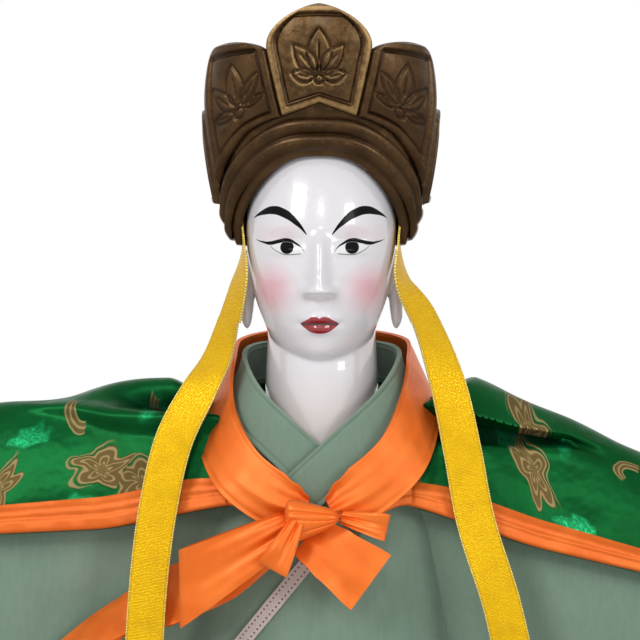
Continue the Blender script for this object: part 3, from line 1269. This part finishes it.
def lapped(side, v, points):
    """Lays the left front over itself along its pleat line, and shapes the softer folds of both sides.

    Across the pleat the rows run t - turn sin(pi t) along the cloth: up, back and up again, while the cloth
    rises from under the pleat to over it. Also gives how far each point is tucked in, from 0 to 1."""
    steps = np.linalg.norm(np.diff(points, axis=0), axis=-1)
    run = np.concatenate([np.zeros((1, points.shape[1])), np.cumsum(steps, axis=0)])
    rows, columns = points.shape[0], range(points.shape[1])
    x = np.abs(points[..., 0])
    line_z = np.interp(x[0], *zip(*pleat_line[side]))
    over = []
    for k in columns:
        ridge = max(2, int(np.argmax(points[: rows // 2, k, 2])))
        over.append(np.interp(line_z[k], points[:ridge, k, 2], run[:ridge, k]))
    # share goes from -1, under the pleat, to 1, over it.
    share = (run - over) / pleat_zone
    depth = pleat_depth(x) if signs[side] > 0 else 0 * x
    inside = np.abs(share) < 1
    moved = run - np.where(inside, depth * pleat_turn * np.sin(np.pi * share), 0)
    laid = [[np.interp(moved[:, k], run[:, k], points[:, k, i]) for k in columns] for i in range(3)]
    laid = np.stack(laid, -1).transpose(1, 0, 2)
    above = np.maximum(0, share - 0.35)
    if signs[side] > 0:
        # The pleat's mouth is deepest at the neck and lies in shade; the lift over the pleat fades upwards.
        below = -(moved - over)
        mouth = 9.5 * np.clip(1 - (x - 46) / 34, 0, 1)
        shade = (1 - smooth(below, mouth, mouth + 4)) * smooth(mouth, 0, 2) * (share < -0.5)
        sunk = 1.3 * smooth(share, -0.8, -0.45) * (1 - smooth(share, -0.36, 0.3))
        under = 0.9 * bell(share, -0.82, 0.2) - sunk
        over_it = pleat_lift * smooth(share, -0.34, 0.34) * np.exp(-above * 0.55)
        lift_now = depth * (under + over_it) - 2.4 * shade
        tuck = np.maximum(depth * smooth(share, -0.72, -0.5) * (1 - smooth(share, 0.0, 0.2)), shade)
    else:
        # A soft ridge along the line, a pocket above it, a second ridge above that, and a fine fold below.
        near = smooth(x, 34, 40) * (1 - smooth(x, 52, 100))
        mm = share * pleat_zone
        pocket = bell(mm, 6.5, 4.2) * (1 - smooth(x, 50, 72))
        lift_now = near * (3.0 * bell(mm, -0.5, 2.8) - 3.4 * pocket + 1.8 * bell(mm, 15, 5))
        fine = 0.9 * bell(mm, -6.5 + 0.06 * x, 1.7) * smooth(x, 44, 52)
        lift_now = lift_now + fine * (1 - smooth(x, 78, 100))
        tuck = near * pocket**0.8
    broad = np.sin(x / 8.5 + run / 19 + 1.2 * signs[side])
    broad = broad + 0.5 * np.sin(x / 4.9 - run / 13 + 2 * signs[side])
    hung = smooth(x, 40, 54) * smooth(run, 8, 20) * (1 - smooth(v, 0.42, 0.52))
    lift_now = lift_now * smooth(run, 8, 16) + 0.55 * broad * hung
    raised = normals(laid) * lift_now[..., None] * np.where(v < top_share, 1, 0)[..., None]
    return laid + raised, np.clip(tuck, 0, 1)


def tucked_in(side, points, front):
    """Draws the front corner of the cape in and up under the tie, and the binding with it."""
    x, y = np.abs(points[..., 0]), points[..., 1]
    pull = (1 - smooth(x, 34, 68)) * smooth(-y, 4, 17) * front
    return points - np.stack([signs[side] * 8.5 * pull, 1.2 * pull, -5.6 * pull], -1)


brocade = Finish("green_brocade", metallic=0.6)
brocade_uv = brocade.cloth()


def scattered(finish, uv, cell, shift):
    """Cells that many mm apart: the place in the nearest cell, turned at random, and its random numbers."""
    moved = finish.node("VectorMath", uv, (shift, shift * 0.7, 0.0), operation="ADD")
    spread = finish.tree.nodes.new("ShaderNodeTexVoronoi")
    spread.voronoi_dimensions = "2D"
    finish.put(spread.inputs["Vector"], moved)
    spread.inputs["Scale"].default_value = 1 / cell
    spread.inputs["Randomness"].default_value = 0.72
    local = finish.node("VectorMath", moved, spread.outputs["Position"], operation="SUBTRACT")
    chance = finish.split(spread.outputs["Color"])
    turned_ = finish.node("VectorRotate", local, None, None, chance[0] * 6.28, rotation_type="Z_AXIS")
    return finish.split(turned_), chance


def polar(x, y):
    """Distance and angle of a place."""
    return hypot(x, y), x.finish.math("ARCTAN2", y, x)


def warped(finish, uv, amount, scale):
    """The cloth's map pushed about by noise, so that shapes drawn on it come out irregular."""
    push = finish.tree.nodes.new("ShaderNodeTexNoise")
    push.noise_dimensions = "2D"
    finish.put(push.inputs["Vector"], uv)
    push.inputs["Scale"].default_value = scale
    push.inputs["Detail"].default_value = 1.0
    centred = finish.node("VectorMath", push.outputs["Color"], (0.5, 0.5, 0.5), operation="SUBTRACT")
    return finish.node("VectorMath", uv, finish.stretched(centred, amount, amount, 0.0), operation="ADD")


# Clouds: lobed rounds with contour lines, half of each with a bright edge.
rough_uv = warped(brocade, brocade_uv, 4.0, 0.12)
(cloud_x, cloud_y, _), cloud_chance = scattered(brocade, rough_uv, 29.0, 3.0)
cloud_r, cloud_a = polar(cloud_x * 0.5, cloud_y)
lobes = brocade.math("SINE", cloud_a * 5.0 + cloud_chance[1] * 9.0)
cloud_in = 4.4 + lobes * 1.1 - cloud_r
is_cloud = brocade.step(cloud_chance[1], 0.36, 0.38)
cloud_shape = brocade.step(cloud_in, -0.15, 0.15) * is_cloud
contour = brocade.math("SINE", cloud_in * 3.6)
halo = brocade.step(abs(cloud_in + 0.7), 0.35, 0.12)
half_side = brocade.step(brocade.math("SINE", cloud_a + cloud_chance[2] * 6.0), 0.0, 0.5)
cloud_line = brocade.step(contour, 0.3, 0.9) * cloud_shape
cloud_line = brocade.math("MAXIMUM", cloud_line, halo * half_side * is_cloud)

# Arcs: bundles of lines bent round a point, in some of the cells without a cloud.
arc_r, arc_a = polar(cloud_x, cloud_y + 2.0)
arc_span = brocade.step(brocade.math("COSINE", arc_a - 1.2), 0.25, 0.4)
arc_zone = between(arc_r, 3.0, 6.2, 0.2) * (arc_span * brocade.step(cloud_chance[1], 0.28, 0.26))
arc_line = brocade.step(brocade.math("SINE", arc_r * 4.4), 0.1, 0.6)
cloud_shape = brocade.math("MAXIMUM", cloud_shape, arc_zone * 0.85)
cloud_line = brocade.math("MAXIMUM", cloud_line, arc_zone * arc_line)

# Leaves: glossy torn patches of brighter green.
torn_uv = warped(brocade, brocade_uv, 6.0, 0.2)
(leaf_x, leaf_y, _), leaf_chance = scattered(brocade, torn_uv, 24.0, 41.0)
leaf_shape = brocade.step(hypot(leaf_x * 0.55, leaf_y), 4.2, 2.2) * brocade.step(leaf_chance[2], 0.3, 0.4)
leaf_grain = brocade.noise(torn_uv, 0.8, 3.0, 0.7)
leaf_shape = leaf_shape * brocade.step(leaf_grain, 0.38, 0.6, 0.35, 1.0)

brocade_spot = brocade.place()
floats = brocade.noise(brocade.stretched(brocade_uv, 0.25, 4.0, 1.0), 1.0, 2.0)
deep_dye = brocade.noise(brocade_spot, 0.05, 3.0)
emerald = brocade.mix(brocade.step(deep_dye, 0.35, 0.7), (0.0006, 0.056, 0.010), (0.0012, 0.088, 0.018))
emerald = brocade.mix(floats * 0.25, emerald, (0.002, 0.12, 0.026))
emerald = brocade.mix(leaf_shape * 0.75, emerald, (0.015, 0.4, 0.14))
emerald = brocade.mix(cloud_shape * 0.9, emerald, (0.16, 0.1, 0.035))
emerald = brocade.mix(cloud_line * 0.8, emerald, (0.36, 0.27, 0.12))
tuck_share = brocade.node("Attribute", attribute_name="tuck", out=2)
brocade.set("Base Color", brocade.mix(tuck_share * 0.93, emerald, (0.0006, 0.01, 0.004)))
gold_thread = brocade.math("MAXIMUM", cloud_shape, cloud_line)
gloss = brocade.step(leaf_shape, 0.0, 1.0, 0.34, 0.22)
brocade.set("Roughness", gloss + brocade.math("MAXIMUM", gold_thread, tuck_share) * 0.3)
brocade.set("Specular IOR Level", 0.12 - tuck_share * 0.1)
brocade.set("Anisotropic", 0.4)
satin_rib = ribs(brocade.split(brocade_uv)[0], 0.3)
crush = brocade.noise(brocade_spot, 0.11, 2.0, 0.5)
brocade.bump((satin_rib, 0.010), (crush, 0.8), (gold_thread, 0.10), (leaf_shape, 0.05))

u_line = np.concatenate([np.linspace(0, neck_share, 36), np.linspace(neck_share, 1, 112)[1:]])
over_share = np.linspace(0, 1, 205)
v_line = np.concatenate([top_share * over_share**0.62, np.linspace(top_share, 1, 40)[1:]])
for side, s in signs.items():
    v, u = crossed(v_line, u_line[::s])
    points, tuck = lapped(side, v, cape_surface(side, u, v))
    points = tucked_in(side, points, 1 - smooth(v, 0.3, 0.4))
    cape = thicken(f"cape_{side}_panel", points, cape_wall)
    tuck_layer = cape.data.attributes.new("tuck", "FLOAT", "POINT")
    tuck_layer.data.foreach_set("value", np.concatenate([tuck.ravel(), tuck.ravel()]).astype(np.float32))
    dress(cape, brocade, nodes=["cape"])
    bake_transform(cape)


def satin(name, level):
    """Orange satin: level 1 is the tie's, and lower levels are darker and duller."""
    orange = Finish(name, metallic=0.3, anisotropic=0.4, sheen_weight=0.08, sheen_roughness=0.3)
    orange.set("Specular IOR Level", 0.4 * level)
    orange_uv = orange.cloth()
    crease_ = orange.noise(orange.place(), 0.11, 1.5, 0.4)
    thread_run = orange.noise(orange.stretched(orange_uv, 3.5, 0.3, 1.0), 1.0, 3.0)
    tangerine = orange.mix(orange.step(crease_, 0.35, 0.7), (0.88, 0.155, 0.007), (0.96, 0.200, 0.018))
    tangerine = orange.mix(orange.step(thread_run, 0.3, 0.7, 0.0, 0.1), tangerine, (1.0, 0.28, 0.05))
    orange.set("Base Color", orange.mix(level, (0.14, 0.016, 0.0004), tangerine))
    orange.set("Roughness", orange.step(thread_run, 0.3, 0.7, 0.30, 0.40))
    orange.bump((ribs(orange.split(orange_uv)[0], 0.35), 0.015), (crease_, 0.7), (thread_run, 0.015))
    return orange


orange = satin("orange_satin", 1.0)
binding_satin = satin("binding_satin", 0.7)
binding_thick, seam, side_binding_share, hem_share = 0.8, 0.003, 1 - 1 / 18, 0.9


def cape_strip(side, u_span, v_span, u_count, v_count):
    """The points of the cape under a binding that spans u and v, a seam's share inside both ends of v."""
    v_line = np.linspace(v_span[0] + seam, v_span[1] - seam, v_count)
    v, u = crossed(v_line, np.linspace(*u_span, u_count))
    points = tucked_in(side, cape_surface(side, u, v), 1 - smooth(v, 0.3, 0.4))
    return points if signs[side] > 0 else points[:, ::-1]


def run_on(side, points):
    """Carries a front binding on from the cape's corner, behind the tie, to the knot, narrowing to half.

    Its middle line is a cubic Bezier curve that leaves the corner straight on."""
    s = signs[side]
    corner, before = (points[:, :1], points[:, 8:9]) if s > 0 else (points[:, -1:], points[:, -9:-8])
    middle = corner.mean(axis=0)
    ahead = middle - before.mean(axis=0)
    t = np.linspace(0, 1, 61)[1:, None]
    onward = middle + 6 * ahead / np.linalg.norm(ahead)
    bend, end = np.array([s * 17, -28.6, 177]), np.array([s * 11.5, -30.4, 173.2])
    path = (1 - t) ** 3 * middle + 3 * t * (1 - t) ** 2 * onward + 3 * t**2 * (1 - t) * bend + t**3 * end
    added = path[None] + (corner - middle) * (1 - 0.5 * t)[None]
    added = added + 0.35 * np.sin(9 * t + 2)[None] * np.array([0, 1, 0])
    return np.concatenate([added[:, ::-1], points] if s > 0 else [points, added], axis=1)


def bind(edge, points, side, node, long_rows):
    """A binding of one edge from its grid of points, full in the middle, with a stitched line at each border.

    long_rows says that the rows of the grid run along the edge."""
    normal = normals(points)
    rows, columns, _ = points.shape
    a = np.linspace(-1, 1, rows if long_rows else columns)
    profile = 0.75 * (1 - a**4) - 0.22 * bell(a, 0.35, 0.12) - 0.15 * bell(np.abs(a), 0.86, 0.06)
    profile = profile[:, None] if long_rows else profile[None, :]
    low = cape_wall / 2 + 2 * gap
    outer = points + normal * (low + binding_thick + profile[..., None])
    strip = shell(f"cape_{edge}_binding_{side}_satin", outer, points + normal * low)
    dress(strip, binding_satin, nodes=[node])
    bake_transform(strip)


for side, depth in (("left", 0.106), ("right", 0.112)):
    strip = run_on(side, cape_strip(side, (neck_share + seam, 1 - seam), (0, depth), 220, 26))
    bind("front", strip, side, f"cape_front_binding_{side}", long_rows=True)
    strip = cape_strip(side, (side_binding_share + seam * 2, 1 - seam), (0.115, hem_share), 20, 260)
    bind("side", strip, side, f"cape_side_binding_{side}", long_rows=False)
    strip = cape_strip(side, (0, 1 - seam), (hem_share, 1), 300, 16)
    bind("hem", strip, side, "cape_hem_binding", long_rows=True)


# Tie: a folded band of orange satin that gathers the cape round the neck. It is tied on the chest in a bow.
# The bow has a pinched knot, one large loop, two small ones, and two cut tails.
up, tie_width, tie_thick = glove_height, 16.5, 1.2
tie_front = -(robe_depth + 7.1)


def half_tie(s):
    """Stations of one half of the tie, from the knot to the nape; the puppet's right half sags a little."""
    sag = 4 if s < 0 else 0
    return [
        ((s * 3.5, tie_front - 1.6, up + 0.2), (s * 0.05, -1, 0), 0.5),
        ((s * 8, tie_front - 0.9, up + 2.6 - sag * 0.3), (s * 0.12, -1, 0), 0.8),
        ((s * 14, tie_front, up + 6 - sag * 0.6), (s * 0.2, -1, 0.05), 1),
        ((s * 24, -27.4, up + 15 - sag), (s * 0.5, -0.85, 0.4), 1),
        ((s * (29.6 + sag * 0.3), -17, up + 27.5 - sag), (s * 0.75, -0.5, 0.5), 1),
        ((s * 31, -2, up + 37), (s * 0.8, 0, 0.55), 1),
        ((s * 28.3, 14.5, up + 42.3), (s * 0.7, 0.5, 0.4), 1),
        ((s * 16, 27.6, up + 45), (s * 0.35, 0.9, 0.36), 1),
    ]


tie_stations = half_tie(1) + [((0, 31.8, up + 46), (0, 1, 0.36), 1)] + half_tie(-1)[::-1]


def tie_lift(a, run):
    """Long soft folds that gather towards both ends of the band, at the knot."""
    ends = np.exp(-run / 16) + np.exp(-(run[-1, 0] - run) / 16)
    gather = ends * (0.9 * np.sin(5.5 * a + 0.6) + 0.4 * np.sin(11 * a))
    return gather + 0.22 * (1 - a**2) + 0.2 * np.sin(run / 8 + 2.5 * a) - 0.15 * bell(np.abs(a), 0.86, 0.05)


tie = band("tie_band_satin", tie_stations, tie_width, tie_thick, np.linspace(0, 1, 420), 41, tie_lift)
dress(tie, orange, "torso", ["tie_band"])

knot_deep, bow_z = 3.6, up - 0.8
bow_y = tie_front - 1.2 - 1.5 * tie_thick - 2 * gap - knot_deep
along_, round_ = crossed(np.linspace(-1, 1, 90), circle(110))
blunt = np.maximum(1 - np.abs(along_) ** 7, 0.0004) ** 0.5
tall_half = (4.7 - 2.7 * along_) * blunt
deep_half = (3.5 - 0.5 * along_) * blunt
upright = np.sin(round_)
folds = 0.45 * bell(upright, 0.42, 0.07) + 0.3 * bell(upright, -0.05 - 0.2 * along_, 0.06)
folds = folds + 0.4 * bell(upright, -0.6, 0.08)
ahead = np.cos(round_)
front_y = deep_half * np.sign(ahead) * np.abs(ahead) ** 0.75 - folds * blunt * (ahead > 0)
knot_x, knot_z, tilt = 7.9 * along_, tall_half * upright, 0.08
knot_points = np.stack(
    [
        knot_x * math.cos(tilt) - knot_z * math.sin(tilt) - 1.9,
        -front_y + bow_y,
        knot_x * math.sin(tilt) + knot_z * math.cos(tilt) + bow_z - 1.4,
    ],
    -1,
)
dress(solid("bow_knot_satin", knot_points[:, ::-1]), orange, "torso", ["bow_knot"])

right_tail = [
    ((-9, bow_y + knot_deep + 0.6, bow_z - 5), (-0.2, -1, 0), 0.4),
    ((-15, bow_y + knot_deep + 1.1, bow_z - 9.5), (-0.25, -1, 0), 0.7),
    ((-30, -30.2, bow_z - 19), (-0.4, -0.9, 0.1), 1),
    ((-45, -21.5, bow_z - 26), (-0.3, -1, 0.3), 1.05),
    ((-60, -19, bow_z - 33), (-0.1, -0.7, 0.9), 0.9),
    ((-76, -19, bow_z - 44), (-0.1, -0.6, 0.95), 0.85),
    ((-90, -20, bow_z - 58), (-0.2, -0.9, 0.6), 0.95),
]
left_tail = [
    ((-3, bow_y + knot_deep + 1, bow_z - 6.7), (0.3, -1, 0.1), 0.85),
    ((0.5, bow_y + 2.8, bow_z - 9.2), (0.3, -1, 0.1), 0.92),
    ((5, bow_y + 1.7, bow_z - 12.4), (0.1, -1, 0.1), 1.02),
    ((15.4, bow_y + 1.3, bow_z - 20), (0, -1, 0.05), 1.2),
]


def tail_lift(a, run):
    """Pleats that fan out from the knot, and a faint crease across."""
    pleats = np.exp(-run / 14) * 0.55 * np.sin(7 * a + 0.5)
    return pleats + 0.3 * np.sin(run / 9 + 1.2 * a) * smooth(run, 4, 14)


for name, stations, rows, flat in (
    ("right", right_tail, 220, (0.0155, 0.108)),
    ("left", left_tail, 100, (0.0165, 0.0255)),
):
    t = np.linspace(0, 1, rows)
    tail = band(f"bow_tail_{name}_satin", stations, tie_width, tie_thick, t, 37, tail_lift)
    dress(tail, orange, "torso", [f"bow_tail_{name}"])


def bow_loop(name, start, reach, direction, width, puff, length, shear):
    """A flattened loop of ribbon that leaves the knot at start and comes back.

    direction is its turn downwards from the puppet's left, puff is half its thickness, length is the flat
    ribbon's length in metres for each mm of reach, and shear slants its end."""
    a, theta = crossed(np.linspace(-1, 1, 33), circle(128))

    def skin(inset):
        """The loop lying along X, at a distance inside its outer face, with pleats at the knot."""
        out = (1 - np.cos(theta)) / 2
        spread = width / 2 * (0.45 + 0.55 * out**0.8)
        pleat = (0.5 * np.sin(6.5 * a + 0.8) + 0.25 * np.sin(13 * a)) * (1 - out) ** 1.2
        slack = 0.35 * np.sin(3 * a + 2.2 * out) * out
        thick = (puff - inset) * np.sin(theta) * (0.5 + 0.5 * out) + pleat + slack
        along = inset + (reach - 2 * inset) * out + shear * spread * a * out
        return np.stack([along, thick, spread * a], -1)

    def placed(points):
        """Turns the loop in its direction and moves it to its start."""
        x, z = points[..., 0], points[..., 2]
        c, s = math.cos(direction), math.sin(direction)
        return np.stack([x * c + z * s + start[0], points[..., 1] + start[1], z * c - x * s + start[2]], -1)

    outer, inner = placed(skin(0)), placed(skin(tie_thick))
    loop = shell(f"{name}_satin", outer[:, ::-1], inner[:, ::-1], wrap=True)
    dress(loop, orange, "torso", [name])


large = dict(reach=37, direction=2.62, width=20, puff=4.2, length=0.0021, shear=0.55)
small = dict(reach=16, direction=2.05, width=9.5, puff=2.2, length=0.0017, shear=0.0)
short = dict(reach=14, direction=0.22, width=8, puff=1.5, length=0.0015, shear=0.0)
bow_loop("bow_loop_right", (-8.6, bow_y + 0.5, bow_z - 3.6), **large)
bow_loop("bow_loop_small", (-6, bow_y - 3.9, bow_z - 1.7), **small)
bow_loop("bow_loop_left", (6.6, bow_y + 4.4, bow_z - 1.2), **short)


# Legs: white cotton tubes stuffed firm with wadding, seamed down one side and gathered at the top.
# Each hangs by a cotton tab that is sewn inside the front of the glove's mouth.
leg_x, leg_y, leg_radius, leg_length = 15, -14, 9, 64
leg_top, leg_foot = -4, -68
leg_shares, leg_swell = (0, 0.01, 0.03, 0.08, 0.25, 0.5, 0.7, 1), (0.3, 0.62, 0.8, 0.93, 1, 0.9, 0.88, 0.74)
for side, s in signs.items():
    heights = np.linspace(leg_foot + 2, leg_top - 0.4, 70)
    radii = leg_radius * np.interp((leg_top - heights) / leg_length, leg_shares, leg_swell)
    foot = [(leg_radius * 0.70, leg_foot), (leg_radius * 0.74, leg_foot + 0.8)]
    outline = np.array([*foot, *zip(radii, heights), (0.3 * leg_radius, leg_top)])
    phi = circle(96)[None, :]
    r, h = outline[:, :1], outline[:, 1:]
    knee = 0.3 * np.sin(h * 1.4 + 1.5 * np.cos(phi)) * bell(h, leg_top - 0.55 * leg_length, 7)
    gather = 0.35 * np.cos(14 * phi) * bell(h, leg_top, 6)
    seam_line = -0.35 * bell(np.abs(phi - np.pi * (0.0 if s > 0 else 1.0)), 0, 0.05)
    reach = r + (knee + gather + seam_line) * smooth(r, 2, 5)
    points = np.stack([s * leg_x + reach * np.cos(phi), leg_y + reach * np.sin(phi), h + 0 * phi], -1)
    leg = solid(f"leg_{side}_stuffed", points)
    dress(leg, cotton, f"leg_{side}", [f"leg_{side}"])

    inner_y = math.sqrt(1 - ((leg_x + 3.5) / 36) ** 2) * 24
    back_y = -(inner_y - glove_wall / 2 - gap - 0.8)
    tab_stations = [
        ((s * leg_x, back_y, 9), (0, -1, 0), 1),
        ((s * leg_x, back_y, 2), (0, -1, 0), 1),
        ((s * leg_x, leg_y - 2.2, -0.6), (0, -0.8, -0.6), 1),
        ((s * leg_x, leg_y, leg_top + gap + 0.4), (0, -0.2, -1), 1),
    ]
    tab = band(f"leg_tab_{side}_cotton", tab_stations, 7, 0.8, np.linspace(0, 1, 60), 21)
    dress(tab, cotton, nodes=[f"leg_tab_{side}"])
    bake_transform(tab)


# Boots: black cloth, moulded to a round-toed foot and pulled over the end of each leg.
# Each stands on a thick white sole of felt layers, glued under it and a little wider all round.
boot_cloth = Finish("boot_cloth", roughness=0.7, sheen_weight=0.4, sheen_roughness=0.4)
boot_spot = boot_cloth.place()
boot_x, boot_y, boot_z = boot_cloth.split(boot_spot)
nap = boot_cloth.noise(boot_spot, 1.3, 4.0)
twill = ribs(boot_x + boot_y + boot_z, 0.8)
scuff = boot_cloth.noise(boot_spot, 0.18, 4.0)
black = boot_cloth.mix(boot_cloth.step(scuff, 0.4, 0.75), (0.012, 0.011, 0.013), (0.035, 0.033, 0.034))
black = boot_cloth.mix(boot_cloth.step(nap, 0.4, 0.8, 0.0, 0.5), black, (0.06, 0.055, 0.056))
boot_cloth.set("Base Color", black)
boot_cloth.bump((twill, 0.05), (nap, 0.06), (scuff, 0.4))

sole_felt = Finish("sole_felt", roughness=0.9)
sole_spot = sole_felt.place()
layers = ribs(sole_felt.split(sole_spot)[2], 0.85)
grime = sole_felt.noise(sole_spot, 0.3, 4.0)
sole_tone = sole_felt.mix(sole_felt.step(grime, 0.4, 0.75), (0.74, 0.71, 0.65), (0.48, 0.43, 0.36))
sole_tone = sole_felt.mix(sole_felt.step(layers, 0.3, 1.0, 0.0, 0.35), sole_tone, (0.38, 0.34, 0.28))
sole_felt.set("Base Color", sole_tone)
sole_felt.bump((layers, 0.12), (sole_felt.noise(sole_spot, 1.6, 3.0), 0.1))


def foot_outline(count):
    """The foot from above, as four Bezier quarters joined, evenly spaced."""
    heel, toe, half_w = leg_radius + 1, 38 - leg_radius - 1, leg_radius - 0.5
    quarters = [
        [(0, heel), (half_w, heel), (half_w * 0.95, heel * 0.3), (half_w * 0.85, 0)],
        [(half_w * 0.85, 0), (half_w * 0.8, -toe * 0.4), (half_w * 1.15, -toe), (0, -toe)],
        [(0, -toe), (-half_w * 1.15, -toe), (-half_w * 0.8, -toe * 0.4), (-half_w * 0.85, 0)],
        [(-half_w * 0.85, 0), (-half_w * 0.95, heel * 0.3), (-half_w, heel), (0, heel)],
    ]
    t = circle(80, 1)[:, None]
    shares = (1 - t) ** 3, 3 * t * (1 - t) ** 2, 3 * t**2 * (1 - t), t**3
    line = np.vstack([sum(share * np.array(place) for share, place in zip(shares, k)) for k in quarters])
    closed = np.vstack([line, line[:1]])
    run = np.concatenate([[0], np.cumsum(np.linalg.norm(np.diff(closed, axis=0), axis=1))])
    return np.stack([np.interp(circle(count, run[-1]), run, closed[:, i]) for i in (0, 1)], -1)


sole_top, sole_thick = -90, 5
for side, s in signs.items():
    line = foot_outline(120)
    v = np.linspace(0, 1, 40)[:, None]
    round_off = np.sqrt(1 - (0.92 * v) ** 2)
    toward = np.where(line[None, :, 1] < 0, 0.35 + 0.65 * round_off, 0.8 + 0.2 * round_off)
    x = line[None, :, 0] * (0.7 + 0.3 * round_off)
    y = line[None, :, 1] * toward
    z = sole_top + gap + v * (leg_foot - sole_top) * 0.62 + 0 * x
    upper_boot = solid("upper", np.stack([s * leg_x + x, leg_y + y, z], -1)[:, ::-1])

    def leg_turned(name, outline, s=s):
        """A turned body about the leg's own axis."""
        body = turned(name, outline)
        body.data.transform(Matrix.Translation((s * leg_x * 0.001, leg_y * 0.001, 0)))
        return body

    rolled_edge = [
        (leg_radius * 0.98, leg_foot + 6),
        (leg_radius * 1.03, leg_foot + 7.2),
        (leg_radius * 0.98, leg_foot + 8),
    ]
    shaft = leg_turned("shaft", [(leg_radius * 0.95, sole_top + 6), *rolled_edge])
    leg_room = [(leg_radius * 0.74 + gap, leg_foot - gap), (leg_radius * 0.86 + gap, leg_foot + 9)]
    room = leg_turned("room", leg_room)
    boot = join(f"boot_{side}_cloth", upper_boot, shaft)
    settled(boot, REMESH={"mode": "VOXEL", "voxel_size": 0.0007}, SMOOTH={"factor": 0.5, "iterations": 4})
    cut(boot, room)
    dress(boot, boot_cloth, f"leg_{side}", [f"boot_{side}"])

    levels = np.array([0, 0.25, 0.8, 1.0, 1.2] + list(np.linspace(1.5, 3.9, 13)) + [4.2, 4.6, 4.85, 5])
    bulge = 0.8 - 0.7 * np.clip(np.maximum(0.5 - levels, levels - 4.5), 0, 1)
    edge = foot_outline(160)
    away = edge - edge.mean(0)
    away /= np.linalg.norm(away, axis=-1, keepdims=True)
    rings = edge + away * bulge[:, None, None]
    heights = np.broadcast_to((sole_top - sole_thick + levels)[:, None], rings.shape[:2])
    sole_points = np.stack([s * leg_x + rings[..., 0], leg_y + rings[..., 1], heights], -1)
    sole = solid(f"boot_sole_{side}_felt", sole_points[:, ::-1])
    dress(sole, sole_felt, f"leg_{side}", [f"boot_sole_{side}"])
